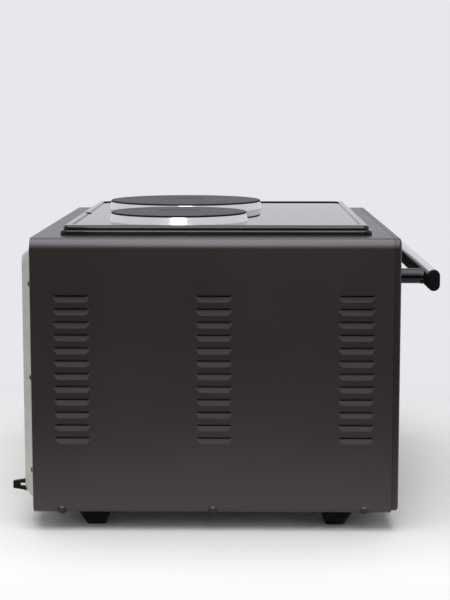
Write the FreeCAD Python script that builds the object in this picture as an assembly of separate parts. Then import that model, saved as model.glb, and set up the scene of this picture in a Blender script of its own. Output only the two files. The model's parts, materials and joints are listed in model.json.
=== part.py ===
import FreeCAD, Part
import math
import os
from FreeCAD import Vector

# Tabletop electric oven with two hotplates, in millimetres.
# The origin is on the table, under the middle of the whole outline. X runs to the right for a user
# who faces the door, Y runs from the door to the back, and Z is up.

# Fits
fit_gap = 0.1            # between sheets and pieces that are fastened together
running_gap = 0.05       # round a shaft or pin that turns
hole_gap = 0.1           # round a screw in its hole
past = 1.0               # how far a cutting block runs past a face
screw_point = 2.0        # how far a screw reaches past the last sheet it holds

# Casing
casing_width = 470.0
casing_depth = 370.0     # from the front frame's face to the casing's rear edge
casing_height = 280.0
casing_sheet = 0.8
top_bend_radius = 10.0
bottom_bend_radius = 8.0
smallest_bend = 1.0
bottom_return = 16.0     # sheet turned under along both sides
rear_return = 14.0       # sheet turned in at the back
foot_height = 19.0

# Louvres in both sides of the casing
louvre_length = 36.0
louvre_columns = 3
louvre_rear_margin = 22.8    # from the casing's rear edge to the first column
louvre_front_margin = 25.6   # from the front frame's face to the last column
louvre_rows = 12
louvre_top_margin = 56.8     # from the casing's top to the top slit
louvre_low_margin = 79.1     # from the casing's bottom to the lowest slit
louvre_bulge = 2.2
louvre_drop = 6.0            # how far down a hood fades into the panel
louvre_slit = 1.2
louvre_lean = 12.0           # slope of a hood at its slit, in degrees
louvre_end_radius = 9.3
louvre_end_swell = 0.6       # how far the round ends' curve lies outside the hood's face

# Front frame
frame_depth = 6.5
frame_sheet = 1.0
frame_edge_radius = 2.5
frame_lift = 2.0         # its lower edge ends above the casing's
frame_tongue = 9.0       # tucked inside the casing
seam_gap = 0.4
side_bezel = 10.0
top_bezel = 13.0
bottom_bezel = 13.0
divider_width = 8.0      # between the door and the control panel
panel_width = 83.0       # of the opening for the control panel

# Door
door_thickness = 20.0
door_sheet = 1.2
door_recess = 0.5        # behind the front frame's face
door_gap = 1.5
door_bottom_gap = 3.0
door_corner_radius = 3.0
door_edge_radius = 1.0
door_border = 20.0       # metal beside and below the window
door_top_band = 58.0     # metal above the window, which carries the handle
outer_glass_thickness = 4.0
inner_glass_thickness = 3.0
glass_overlap = 8.0
inner_window_inset = 12.0
clip_thickness = 1.5
clip_reach = 6.0
clip_width = 14.0
seal_height = 3.2
seal_width = 8.0
seal_inset = 3.0
seal_gap = 0.3

# Door hinge
pin_radius = 3.0
pin_in_door = 10.0
hinge_setback = 5.5      # axis behind the door's front face
hinge_rise = 6.0         # axis above the door's lower edge
hinge_bracket = 4.0
lug_length = 13.0
lug_half_size = 5.5
bracket_reach = 9.0      # bracket behind the axis
bracket_rise = 12.0      # bracket above the axis
washer_radius = 5.0
washer_gap = 0.6         # between a washer and the door

# Handle
handle_gap = 29.7        # from the front frame's face to the bar
handle_thickness = 12.6
handle_height = 21.8
handle_drop = 30.5       # from the door's top to the bar's middle
handle_end_inset = 18.5  # from the door's side to the bar's end
handle_wall = 1.2
cap_thickness = 3.5
cap_plug = 12.0
cap_edge_radius = 1.2
standoff_radius = 7.9
standoff_flare = 0.7     # wider where it meets the bar
standoff_collar = 3.5
standoff_inset = 43.0    # from the bar's end to the post
handle_screw_radius = 2.5
handle_screw_head = 5.0

# Back panel and its spacers
back_sheet = 0.8
back_bulge = 11.0
back_slope = 9.0         # width of the sloped wall round the bulge
back_margin = 3.0        # from the casing's outline to the panel's edge
bulge_side = 14.0        # from the casing's side to the foot of the slope
bulge_low = 7.0
bulge_high = 10.0
panel_corner_radius = 8.0
bulge_corner_radius = 14.0
back_screw_from_edge = 6.0
back_screw_head_radius = 3.0
back_screw_low = 44.0    # lowest screw above the casing's bottom
back_screw_high = 46.0   # highest screw below the casing's top
back_screw_rows = 3
back_screw_count_on_top = 3
back_slot_length = 44.0
back_slot_width = 4.0
back_slot_pitch = 11.0
back_slot_rows = 7
back_slot_drop = 27.0    # top slot below the bulge's upper foot
spacer_length = 12.8
spacer_width = 5.0
spacer_base_height = 10.5
spacer_tip_height = 7.2
spacer_middle = 23.6     # above the casing's bottom
spacer_side = 24.0       # from the casing's side
spacer_flange = 1.2
spacer_slit_length = 6.0
spacer_slit_height = 3.5

# Base plate, feet and screws
base_sheet = 0.8
foot_top_depth = 39.0
foot_top_width = 34.0
foot_tip = 18.5
foot_lean = 1.6          # tip moved towards the middle of the oven
foot_corner_radius = 5.0
foot_from_side = 38.0
foot_from_rear = 59.5
foot_from_front = 60.5
screw_radius = 1.9
screw_head_radius = 4.8
screw_head_height = 2.0
screw_head_rim = 0.7
casing_screw_from_rear = 28.7
casing_screw_from_front = 33.9
casing_screws_a_side = 3
screw_pad_radius = 5.2
screw_pad_thickness = 2.4
bend_screw_turn = 135    # degrees from straight up to the middle of a bottom bend
base_edge_setback = 0.4  # where the base plate's sides turn up, before the bend starts
base_edge_rise = 6.6
base_slot_length = 60.0
base_slot_width = 5.0
base_slot_pitch = 14.0
base_slot_rows = 6

# Hob plate
hob_end_margin = 26.0    # casing top left before and behind it
hob_sheet = 1.0
hob_height = 10.2        # rim above the casing's top
hob_skirt = 5.2
hob_step = 3.0           # upper riser set in from the skirt
hob_rim = 11.0           # from the outline to the recessed field
hob_recess = 1.2
hob_corner_radius = 9.0
hob_skirt_rounding = 2.0
hob_top_rounding = 3.5
hob_support = 12.0       # casing top left under the hob plate's edge
lid_slot_width = 16.0
lid_slot_depth = 7.0
lid_slot_middle = -15.5  # across the rear rim
lid_slot_rounding = 2.3

# Hotplates
small_diameter = 145.0
large_diameter = 180.0
small_side_margin = 19.5     # from the hob plate's side to the small hotplate
large_side_margin = 18.0
hotplate_spacing = 37.5      # between the two hotplates
hotplate_rear_margin = 16.6  # from the large hotplate to the rear rim
hotplate_top = 18.6      # above the casing's top
hotplate_edge = 1.0
hotplate_rim = 1.7       # thickness of the rim that covers the spill ring's edge
hotplate_overhang = 1.3
hotplate_seat = 8.0      # from the outline to the body that passes through the hob plate
hotplate_body = 15.0     # body below the hob's surface
hotplate_thickness = 13.0
hotplate_wall = 5.0
hotplate_boss_radius = 12.0
hotplate_dimple_radius = 22.0
hotplate_dimple = 0.5
hotplate_gap = 0.5
ring_wall = 0.6
ring_flare = 2.7         # how much wider the ring is on the hob plate than under the rim
ring_gap = 0.3
stud_radius = 3.0
stud_length = 24.0
bridge_sheet = 2.0
bridge_width = 22.0
bridge_foot = 8.0
nut_height = 5.0
nut_across = 10.0

# Oven cavity
cavity_side_room = 13.0  # from the door's side to the cavity
cavity_rise = 22.0       # floor above the hinge axis
cavity_roof_room = 46.0  # from the roof to the casing's top
cavity_rear_room = 20.0  # from the back wall to the casing's rear edge
cavity_sheet = 0.8
ledge_count = 3
ledge_lowest = 38.0
ledge_top_room = 52.0    # from the highest ledge to the roof
ledge_reach = 8.0
ledge_thickness = 1.5
ledge_margin = 18.0

# Heating elements
heater_radius = 3.25
heater_half_gap = 62.0   # from the middle of the cavity to a leg
heater_corner_radius = 55.8
heater_from_wall = 16.0
heater_end_gap = 18.0
heater_tail = 24.0
bush_radius = 8.0
bush_flange_radius = 11.0
bush_flange = 2.0
bush_length = 12.0

# Controls
panel_sheet = 1.5
panel_overlap = 4.0
knob_lowest = 44.0       # above the casing's bottom
knob_top_room = 52.0     # from the top knob to the casing's top
knob_gap = 1.0
knob_skirt_radius = 18.0
knob_skirt = 3.0
knob_radius = 14.5
knob_taper = 1.3
knob_height = 16.0
knob_rounding = 1.2
grip_width = 8.0
grip_length = 26.0
grip_height = 21.0
grip_corner_radius = 3.0
grip_rounding = 1.0
spindle_radius = 3.0
spindle_in_knob = 12.0
spindle_in_control = 16.0
control_bush_radius = 5.0
blade_width = 6.3
blade_thickness = 0.8
blade_length = 8.0
blade_pitch = 9.0
lamp_radius = 4.0
lamp_pitch = 24.0
lamp_rise = 28.0         # above the top knob
lamp_body = 18.0
lamp_dome = 2.0
control_shapes = {       # width, height and depth of the box, radius and depth of the dome, terminals
    "timer": ((40.0, 36.0, 24.0), (17.0, 10.0), 2),
    "thermostat": ((32.0, 36.0, 20.0), (14.0, 8.0), 2),
    "function_switch": ((34.0, 34.0, 26.0), (15.0, 6.0), 4),
    "large_hotplate_switch": ((36.0, 36.0, 28.0), (16.0, 5.0), 4),
    "small_hotplate_switch": ((36.0, 36.0, 28.0), (16.0, 5.0), 4),
}

# Supply
gland_height = 52.0      # above the casing's bottom
gland_radius = 8.0
gland_flange_radius = 11.5
gland_flange = 4.0
gland_bore = 4.2
terminal_length = 42.0
terminal_depth = 20.0
terminal_height = 18.0
terminal_from_rear = 90.0
terminal_ways = 3
terminal_pitch = 12.0
terminal_hole_radius = 2.2
terminal_hole_depth = 7.0
trunk_radius = 4.0
branch_radius = 1.8
trunk_setback = 70.0

# Thermostat bulb
bulb_radius = 3.0
bulb_length = 64.0
bulb_below_roof = 16.0
bulb_before_middle = 30.0    # towards the door from the middle of the cavity
capillary_radius = 1.0
capillary_bend = 12.0
capillary_offset = 13.5  # to the left of the thermostat's spindle

# Rack and tray
rack_margin = 4.0
rack_rear_room = 10.0
rack_wire = 2.5
rack_rung = 1.5
rack_rung_count = 13
rack_corner_radius = 14.0
rack_setback = 5.0
rack_level = 0
tray_level = 1
tray_rear_room = 11.0
tray_height = 24.0
tray_sheet = 0.8
tray_lip = 8.0
tray_corner_radius = 16.0
tray_rounding = 5.0
rest_gap = 0.3           # under a rack or tray that slides

# Places worked out from the sizes above
half_width = casing_width / 2
casing_bottom = foot_height
casing_top = foot_height + casing_height
front_reach = handle_gap + handle_thickness
rear_reach = back_bulge + spacer_length
front_face = (front_reach - casing_depth - rear_reach) / 2
rear_edge = front_face + casing_depth
casing_front = front_face + frame_depth + seam_gap
tongue_end = casing_front + frame_tongue
middle_depth = rear_edge - casing_depth / 2
bulge_face = rear_edge + back_bulge

door_opening_left = side_bezel - half_width
door_width = casing_width - 2 * side_bezel - divider_width - panel_width - 2 * door_gap
door_opening_right = door_opening_left + door_width + 2 * door_gap
door_opening_bottom = casing_bottom + bottom_bezel
door_opening_top = casing_top - top_bezel
door_left = door_opening_left + door_gap
door_right = door_left + door_width
door_bottom = door_opening_bottom + door_bottom_gap
door_top = door_opening_top - door_gap
door_front = front_face + door_recess
door_back = door_front + door_thickness
hinge_depth = door_front + hinge_setback
hinge_height = door_bottom + hinge_rise
window = (door_left + door_border, door_right - door_border)
window_heights = (door_bottom + door_border, door_top - door_top_band)

cavity_front = door_back + seal_gap + seal_height
cavity_back = rear_edge - cavity_rear_room
cavity_left = door_left + cavity_side_room
cavity_right = door_right - cavity_side_room
cavity_floor = hinge_height + cavity_rise
cavity_roof = casing_top - cavity_roof_room
cavity_middle_depth = (cavity_front + cavity_back) / 2

panel_left = door_opening_right + divider_width
panel_right = panel_left + panel_width
panel_front = front_face + frame_sheet
panel_back = panel_front + panel_sheet
control_middle = (panel_left + panel_right) / 2
knob_back = panel_front - knob_gap

hotplate_room = small_diameter + hotplate_spacing + large_diameter
hob_width = small_side_margin + hotplate_room + large_side_margin
hob_depth = casing_depth - 2 * hob_end_margin
hob_field = casing_top + hob_height - hob_recess
hob_rear_rim = middle_depth + hob_depth / 2 - hob_rim
small_radius = small_diameter / 2
large_radius = large_diameter / 2
hotplates = (
    (small_side_margin + small_radius - hob_width / 2, small_radius),
    (hob_width / 2 - large_side_margin - large_radius, large_radius),
)
hotplate_depth = hob_rear_rim - hotplate_rear_margin - large_radius

handle_left = door_left + handle_end_inset
handle_right = door_right - handle_end_inset
handle_z = door_top - handle_drop
bar_back = front_face - handle_gap
bar_front = bar_back - handle_thickness
standoffs = (handle_left + standoff_inset, handle_right - standoff_inset)

# Shape helpers
directions = {"X": Vector(1, 0, 0), "Y": Vector(0, 1, 0), "Z": Vector(0, 0, 1)}


def place(axis, u, v, along):
    """Point with u and v across an axis, taken in X, Y, Z order, and a distance along it."""
    if axis == "X":
        return Vector(along, u, v)
    if axis == "Y":
        return Vector(u, along, v)
    return Vector(u, v, along)


def box(xs, ys, zs):
    return Part.makeBox(xs[1] - xs[0], ys[1] - ys[0], zs[1] - zs[0], Vector(xs[0], ys[0], zs[0]))


def rounded_wire(axis, us, vs, along, low_radius, high_radius):
    """Rectangle across an axis whose low and high corners have their own radii."""
    corners = (
        (us[0] + low_radius, vs[0] + low_radius, low_radius, 180),
        (us[1] - low_radius, vs[0] + low_radius, low_radius, 270),
        (us[1] - high_radius, vs[1] - high_radius, high_radius, 0),
        (us[0] + high_radius, vs[1] - high_radius, high_radius, 90),
    )
    arcs = []
    for u, v, radius, start in corners:
        angles = [math.radians(start + turn) for turn in (0, 45, 90)]
        arcs.append([place(axis, u + radius * math.cos(a), v + radius * math.sin(a), along) for a in angles])
    edges = []
    for number, arc in enumerate(arcs):
        following = arcs[(number + 1) % len(arcs)]
        edges.append(Part.Arc(*arc).toShape())
        if arc[2].distanceToPoint(following[0]) > 1e-6:
            edges.append(Part.LineSegment(arc[2], following[0]).toShape())
    return Part.Wire(edges)


def rounded(axis, us, vs, span, low_radius, high_radius=None):
    """Prism along an axis with rounded corners."""
    if high_radius is None:
        high_radius = low_radius
    wire = rounded_wire(axis, us, vs, span[0], low_radius, high_radius)
    return Part.Face(wire).extrude(directions[axis] * (span[1] - span[0]))


def rod(axis, u, v, span, radius):
    return Part.makeCylinder(radius, span[1] - span[0], place(axis, u, v, span[0]), directions[axis])


def turned(axis, u, v, outline):
    """Solid turned about an axis from points of radius and distance along it."""
    points = [place(axis, u + radius, v, along) for radius, along in outline]
    face = Part.Face(Part.makePolygon(points + points[:1]))
    return face.revolve(place(axis, u, v, 0), directions[axis], 360)


def drawn(axis, outline, span):
    """Prism along an axis from straight-sided points across it."""
    points = [place(axis, u, v, span[0]) for u, v in outline]
    face = Part.Face(Part.makePolygon(points + points[:1]))
    return face.extrude(directions[axis] * (span[1] - span[0]))


def piped(start, end_points, bends, radius):
    """Round wire through straight runs joined by tangent arcs."""
    points = [start] + end_points
    edges = []
    here = start
    for number, bend in enumerate(bends, start=1):
        corner = points[number]
        back = (points[number - 1] - corner).normalize()
        ahead = (points[number + 1] - corner).normalize()
        half = back.getAngle(ahead) / 2
        reach = bend / math.tan(half)
        inward = (back + ahead).normalize()
        first = corner + back * reach
        last = corner + ahead * reach
        middle = corner + inward * (bend / math.sin(half) - bend)
        if here.distanceToPoint(first) > 1e-6:
            edges.append(Part.LineSegment(here, first).toShape())
        edges.append(Part.Arc(first, middle, last).toShape())
        here = last
    edges.append(Part.LineSegment(here, points[-1]).toShape())
    path = Part.Wire(edges)
    heading = points[1] - points[0]
    ring = Part.Wire(Part.makeCircle(radius, start, heading))
    return path.makePipeShell([ring], True, False)


def join(pieces):
    return pieces[0].multiFuse(pieces[1:]).removeSplitter()


def group(pieces):
    return Part.makeCompound(pieces)


def spaced(first, pitch, count):
    return [first + pitch * number for number in range(count)]


def between(first, last, count):
    return spaced(first, (last - first) / (count - 1), count)


def centred(middle, pitch, count):
    return spaced(middle - pitch * (count - 1) / 2, pitch, count)


def front_edges(shape, depth):
    """Edges that lie in the plane across Y at a depth."""
    found = []
    for edge in shape.Edges:
        bounds = edge.BoundBox
        if abs(bounds.YMin - depth) < 1e-4 and abs(bounds.YMax - depth) < 1e-4:
            found.append(edge)
    return found


def level_edges(shape, height):
    """Edges that lie in the level plane at a height."""
    found = []
    for edge in shape.Edges:
        bounds = edge.BoundBox
        if abs(bounds.ZMin - height) < 1e-4 and abs(bounds.ZMax - height) < 1e-4:
            found.append(edge)
    return found


# Casing, frame and panels
def section(inset, floor, span):
    """Outline that the casing and the front frame share, set in by a distance."""
    sides = (inset - half_width, half_width - inset)
    heights = (floor + inset, casing_top - inset)
    low_radius = max(bottom_bend_radius - inset, smallest_bend)
    high_radius = max(top_bend_radius - inset, smallest_bend)
    return rounded("Y", sides, heights, span, low_radius, high_radius)


def louvre_places():
    rear_column = rear_edge - louvre_rear_margin - louvre_length / 2
    front_column = front_face + louvre_front_margin + louvre_length / 2
    columns = between(rear_column, front_column, louvre_columns)
    rows = between(casing_top - louvre_top_margin, casing_bottom + louvre_low_margin, louvre_rows)
    return [(depth, height) for depth in columns for height in rows]


def louvre_capsule(side, depth, height, inset, top):
    """Hood that leans out towards its slit, with round ends, set in by a distance and kept below a top plane."""
    lip = height - louvre_slit
    span = (depth - louvre_length, depth + louvre_length)
    slope = math.radians(louvre_lean)
    foot_slope = 2 * math.atan2(louvre_bulge, louvre_drop) - slope
    face_radius = louvre_drop / (math.sin(foot_slope) - math.sin(slope))
    face_across = side * (half_width + louvre_bulge - face_radius * math.cos(slope))
    face = rod("Y", face_across, lip + face_radius * math.sin(slope), span, face_radius - inset)
    end_rise = louvre_bulge + louvre_end_swell
    end_reach = math.sqrt(louvre_end_radius ** 2 - (louvre_end_radius - end_rise) ** 2)
    end_across = side * (half_width + end_rise - louvre_end_radius)
    half_run = louvre_length / 2 - end_reach
    end_depths = (depth - half_run, depth + half_run)
    radius = louvre_end_radius - inset
    roller = rod("Y", end_across, lip, end_depths, radius)
    ends = [Part.makeSphere(radius, Vector(end_across, end_depth, lip)) for end_depth in end_depths]
    sides = sorted((side * (half_width + louvre_bulge), side * (half_width - 2 * casing_sheet)))
    keep = box(sides, span, (height - 2 * louvre_drop, top))
    return join([roller] + ends).common(face).common(keep)


def louvre_tools():
    """Hoods to add and hollows to cut, for both sides."""
    depth, height = louvre_places()[0]
    hoods = []
    hollows = []
    for side in (-1, 1):
        hood = louvre_capsule(side, depth, height, 0, height - louvre_slit)
        hollow = louvre_capsule(side, depth, height, casing_sheet, height)
        for other_depth, other_height in louvre_places():
            shift = Vector(0, other_depth - depth, other_height - height)
            hoods.append(hood.translated(shift))
            hollows.append(hollow.translated(shift))
    return hoods, hollows


def casing_screw_places():
    rear = rear_edge - casing_screw_from_rear
    depths = between(rear, front_face + casing_screw_from_front, casing_screws_a_side)
    return [(side, depth) for side in (-1, 1) for depth in depths]


def on_bottom_bend(shape, side, depth):
    """Shape drawn along Z about the origin, turned so that Z points out of the middle of a bottom bend."""
    turned_shape = shape.copy()
    turned_shape.rotate(Vector(0, 0, 0), directions["Y"], side * bend_screw_turn)
    across = side * (half_width - bottom_bend_radius)
    return turned_shape.translated(Vector(across, depth, casing_bottom + bottom_bend_radius))


def bend_rods(span, radius):
    single = rod("Z", 0, 0, span, radius)
    return [on_bottom_bend(single, side, depth) for side, depth in casing_screw_places()]


def back_screw_places():
    reach = half_width - back_screw_from_edge
    heights = between(casing_bottom + back_screw_low, casing_top - back_screw_high, back_screw_rows)
    beside = [(side * reach, height) for side in (-1, 1) for height in heights]
    top_pitch = casing_width / back_screw_count_on_top
    across = centred(0, top_pitch, back_screw_count_on_top)
    return beside + [(x, casing_top - back_screw_from_edge) for x in across]


def outer_casing():
    wrap = section(0, casing_bottom, (casing_front, rear_edge))
    hollow = section(casing_sheet, casing_bottom, (casing_front - past, rear_edge - casing_sheet))
    under = box(
        (bottom_return - half_width, half_width - bottom_return),
        (casing_front - past, rear_edge + past),
        (casing_bottom - past, casing_bottom + 2 * casing_sheet),
    )
    behind = box(
        (rear_return - half_width, half_width - rear_return),
        (rear_edge - 2 * casing_sheet, rear_edge + past),
        (casing_bottom - past, casing_top - rear_return),
    )
    hob_reach = (hob_width / 2 - hob_support, hob_depth / 2 - hob_support)
    above = box(
        (-hob_reach[0], hob_reach[0]),
        (middle_depth - hob_reach[1], middle_depth + hob_reach[1]),
        (casing_top - 2 * casing_sheet, casing_top + past),
    )
    hole = screw_radius + hole_gap
    rear_span = (rear_edge - 2 * casing_sheet, rear_edge + past)
    holes = [rod("Y", x, z, rear_span, hole) for x, z in back_screw_places()]
    holes += bend_rods((0, bottom_bend_radius + past), hole)
    pads = bend_rods((bottom_bend_radius - screw_pad_thickness, bottom_bend_radius), screw_pad_radius)
    hoods, hollows = louvre_tools()
    wrap = wrap.cut([hollow, under, behind, above])
    return wrap.multiFuse(hoods + pads).cut(hollows + holes)


def front_frame():
    floor = casing_bottom + frame_lift
    flange = section(0, floor, (front_face, front_face + frame_depth))
    flange = flange.makeFillet(frame_edge_radius, front_edges(flange, front_face))
    tongue_inset = casing_sheet + fit_gap
    wall = tongue_inset + frame_sheet
    tongue = section(tongue_inset, floor, (front_face + frame_edge_radius, tongue_end))
    void = section(wall, floor, (panel_front, tongue_end + past))
    reveal = box(
        (door_opening_left - frame_sheet, door_opening_right + frame_sheet),
        (front_face, cavity_front),
        (door_opening_bottom - frame_sheet, door_opening_top + frame_sheet),
    )
    through = (front_face - past, cavity_front + past)
    doorway = box((door_opening_left, door_opening_right), through, (door_opening_bottom, door_opening_top))
    panel_hole = box((panel_left, panel_right), through, (door_opening_bottom, door_opening_top))
    pin_hole = pin_radius + hole_gap
    pin_holes = []
    for wall_face in (door_opening_left, door_opening_right):
        span = (wall_face - 2 * frame_sheet, wall_face + 2 * frame_sheet)
        pin_holes.append(rod("X", hinge_depth, hinge_height, span, pin_hole))
    shell = flange.fuse(tongue).cut(void)
    return join([shell, reveal]).cut([doorway, panel_hole] + pin_holes)


def control_panel():
    plate = box(
        (panel_left - panel_overlap, panel_right + panel_overlap),
        (panel_front, panel_back),
        (door_opening_bottom - panel_overlap, door_opening_top + panel_overlap),
    )
    span = (panel_front - past, panel_back + past)
    holes = [rod("Y", control_middle, z, span, control_bush_radius + hole_gap) for z in control_heights]
    holes += [rod("Y", x, z, span, lamp_radius + hole_gap) for x, z in lamp_places()]
    return plate.cut(holes)


def bulge(shift):
    """Sloped bulge of the back panel, moved along Y."""
    sides = (bulge_side - half_width, half_width - bulge_side)
    heights = (casing_bottom + bulge_low, casing_top - bulge_high)
    low = rounded_wire("Y", sides, heights, rear_edge + shift, bulge_corner_radius, bulge_corner_radius)
    top_sides = (sides[0] + back_slope, sides[1] - back_slope)
    top_heights = (heights[0] + back_slope, heights[1] - back_slope)
    top_radius = bulge_corner_radius - back_slope / 2
    high = rounded_wire("Y", top_sides, top_heights, bulge_face + shift, top_radius, top_radius)
    return Part.makeLoft([low, high], True, True)


def back_slot_places():
    reach = half_width / 2
    heights = spaced(casing_top - bulge_high - back_slot_drop, -back_slot_pitch, back_slot_rows)
    return [(side * reach, z) for side in (-1, 1) for z in heights]


def back_panel():
    sides = (back_margin - half_width, half_width - back_margin)
    heights = (casing_bottom + back_margin, casing_top - back_margin)
    plate = rounded("Y", sides, heights, (rear_edge, rear_edge + back_sheet), panel_corner_radius)
    span = (rear_edge - past, bulge_face + past)
    cuts = [bulge(-back_sheet)]
    cuts += [rod("Y", x, z, span, screw_radius + hole_gap) for x, z in back_screw_places()]
    cuts.append(rod("Y", control_middle, casing_bottom + gland_height, span, gland_radius + hole_gap))
    for x, z in back_slot_places():
        across = (x - back_slot_length / 2, x + back_slot_length / 2)
        tall = (z - back_slot_width / 2, z + back_slot_width / 2)
        cuts.append(rounded("Y", across, tall, span, back_slot_width / 2))
    return plate.fuse(bulge(0)).cut(cuts).removeSplitter()


def rear_spacers():
    root = spacer_base_height / 2
    tip = spacer_tip_height / 2
    lip = root + spacer_flange
    base_end = bulge_face + 2 * spacer_flange
    outline = [(bulge_face, -lip), (base_end, -root), (bulge_face + spacer_length, -tip)]
    outline += [(depth, -rise) for depth, rise in reversed(outline)]
    middle = casing_bottom + spacer_middle
    points = [(depth, middle + rise) for depth, rise in outline]
    pieces = []
    for side in (-1, 1):
        near = side * (half_width - spacer_side)
        across = sorted((near, near - side * spacer_width))
        slit = rounded(
            "X",
            (bulge_face - spacer_slit_height, bulge_face + spacer_slit_length),
            (middle - spacer_slit_height / 2, middle + spacer_slit_height / 2),
            (across[0] - past, across[1] + past),
            spacer_slit_height / 2,
        )
        pieces.append(drawn("X", points, across).cut(slit))
    return group(pieces)


def base_slot_places():
    depths = centred(middle_depth, base_slot_pitch, base_slot_rows)
    return [(side * half_width / 3, depth) for side in (-1, 0, 1) for depth in depths]


def foot_places():
    reach = half_width - foot_from_side
    depths = ((rear_edge - foot_from_rear, -1), (front_face + foot_from_front, 1))
    return [(side * reach, depth, lean) for side in (-1, 1) for depth, lean in depths]


def base_plate():
    """Bottom sheet, behind the front frame's tongue, turned up inside the casing's bends and the back panel."""
    floor = casing_bottom + casing_sheet
    reach = half_width - bottom_bend_radius - base_edge_setback
    slant = base_sheet * math.sqrt(2)
    half = [
        (0, floor),
        (reach, floor),
        (reach + base_edge_rise, floor + base_edge_rise),
        (reach + base_edge_rise - slant / 2, floor + base_edge_rise + slant / 2),
        (reach + base_sheet - slant, floor + base_sheet),
    ]
    outline = half + [(-x, z) for x, z in reversed(half[1:])]
    rear = rear_edge - casing_sheet - fit_gap
    plate = drawn("Y", outline, (casing_front + seam_gap, rear))
    rear_lip = box((-reach, reach), (rear - base_sheet, rear), (floor, floor + base_edge_rise))
    span = (floor - past, floor + base_sheet + past)
    before = (casing_front, tongue_end + seam_gap)
    cuts = [box((-half_width, half_width), before, (floor + base_sheet, floor + 2 * base_edge_rise))]
    cuts += bend_rods((0, bottom_bend_radius), screw_radius + hole_gap)
    cuts += [rod("Z", x, y, span, screw_radius + hole_gap) for x, y, lean in foot_places()]
    for x, y in base_slot_places():
        across = (x - base_slot_length / 2, x + base_slot_length / 2)
        deep = (y - base_slot_width / 2, y + base_slot_width / 2)
        cuts.append(rounded("Z", across, deep, span, base_slot_width / 2))
    return plate.fuse(rear_lip).cut(cuts).removeSplitter()


def feet():
    top = casing_bottom + casing_sheet
    pieces = []
    for x, y, lean in foot_places():
        across = (x - foot_top_width / 2, x + foot_top_width / 2)
        deep = (y - foot_top_depth / 2, y + foot_top_depth / 2)
        head = rounded_wire("Z", across, deep, top, foot_corner_radius, foot_corner_radius)
        tip_middle = y + lean * foot_lean
        tip_across = (x - foot_tip / 2, x + foot_tip / 2)
        tip_deep = (tip_middle - foot_tip / 2, tip_middle + foot_tip / 2)
        tip_radius = foot_corner_radius * foot_tip / foot_top_depth
        tip = rounded_wire("Z", tip_across, tip_deep, 0, tip_radius, tip_radius)
        body = Part.makeLoft([tip, head], True, True)
        bore = rod("Z", x, y, (-past, top + past), screw_radius + hole_gap)
        sink = rod("Z", x, y, (-past, foot_height / 2), screw_head_radius + hole_gap)
        pieces.append(body.cut([bore, sink]))
    return group(pieces)


def pan_screw(axis, u, v, seat, sense, length, head_radius):
    """Domed screw whose head stands on a seat on the side that sense points to."""
    outline = [
        (0, seat - sense * length),
        (screw_radius, seat - sense * length),
        (screw_radius, seat),
        (head_radius, seat),
        (head_radius, seat + sense * screw_head_rim),
        (head_radius - screw_head_height, seat + sense * screw_head_height),
        (0, seat + sense * screw_head_height),
    ]
    return turned(axis, u, v, outline)


def casing_screws():
    """Screws through the casing's bottom bends and the turned-up edges of the base plate."""
    screw = pan_screw("Z", 0, 0, bottom_bend_radius, 1, bottom_bend_radius - screw_point, screw_head_radius)
    return group([on_bottom_bend(screw, side, depth) for side, depth in casing_screw_places()])


def foot_screws():
    seat = foot_height / 2
    grip = casing_bottom + casing_sheet + base_sheet + screw_point - seat
    return group([pan_screw("Z", x, y, seat, -1, grip, screw_head_radius) for x, y, lean in foot_places()])


def back_panel_screws():
    seat = rear_edge + back_sheet
    grip = back_sheet + casing_sheet + screw_point
    places = back_screw_places()
    return group([pan_screw("Y", x, z, seat, 1, grip, back_screw_head_radius) for x, z in places])


# Hob and hotplates
def hob_block(inset, low, high, corner):
    across = (inset - hob_width / 2, hob_width / 2 - inset)
    deep = (middle_depth - hob_depth / 2 + inset, middle_depth + hob_depth / 2 - inset)
    return rounded("Z", across, deep, (low, high), max(corner - inset, hob_sheet))


def hob_plate():
    shoulder = casing_top + hob_skirt
    rim_top = casing_top + hob_height
    skirt = hob_block(0, casing_top, shoulder, hob_corner_radius)
    skirt = skirt.makeFillet(hob_skirt_rounding, level_edges(skirt, shoulder))
    upper = hob_block(hob_step, casing_top, rim_top, hob_corner_radius)
    upper = upper.makeFillet(hob_top_rounding, level_edges(upper, rim_top))
    field = hob_block(hob_rim, hob_field, rim_top + past, hob_corner_radius + hob_rim)
    low_void = hob_block(hob_sheet, casing_top - past, shoulder - hob_sheet, hob_corner_radius)
    high_void = hob_block(hob_rim, casing_top - past, hob_field - hob_sheet, hob_corner_radius + hob_rim)
    cuts = [field, low_void, high_void]
    span = (casing_top, rim_top + past)
    for middle, radius in hotplates:
        cuts.append(rod("Z", middle, hotplate_depth, span, radius - hotplate_seat + hotplate_gap))
    slot_across = (lid_slot_middle - lid_slot_width / 2, lid_slot_middle + lid_slot_width / 2)
    slot_deep = (hob_rear_rim - lid_slot_depth / 2, hob_rear_rim + lid_slot_depth / 2)
    slot_tall = (shoulder - hob_sheet, rim_top + past)
    cuts.append(rounded("Z", slot_across, slot_deep, slot_tall, lid_slot_rounding))
    return join([skirt, upper]).cut(cuts).removeSplitter()


def hotplate(middle, radius):
    top = casing_top + hotplate_top
    seat = hob_field + fit_gap
    neck_radius = radius - hotplate_overhang
    body_radius = radius - hotplate_seat
    bottom = hob_field - hotplate_body
    outline = [
        (0, top - hotplate_dimple),
        (hotplate_dimple_radius, top - hotplate_dimple),
        (hotplate_dimple_radius + hotplate_dimple, top),
        (radius - hotplate_edge, top),
        (radius, top - hotplate_edge),
        (radius, top - hotplate_rim),
        (neck_radius, top - hotplate_rim),
        (neck_radius, seat),
        (body_radius, seat),
        (body_radius, bottom),
        (body_radius - hotplate_wall, bottom),
        (body_radius - hotplate_wall, top - hotplate_thickness),
        (hotplate_boss_radius, top - hotplate_thickness),
        (hotplate_boss_radius, bottom),
        (0, bottom),
    ]
    return turned("Z", middle, hotplate_depth, outline)


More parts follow.
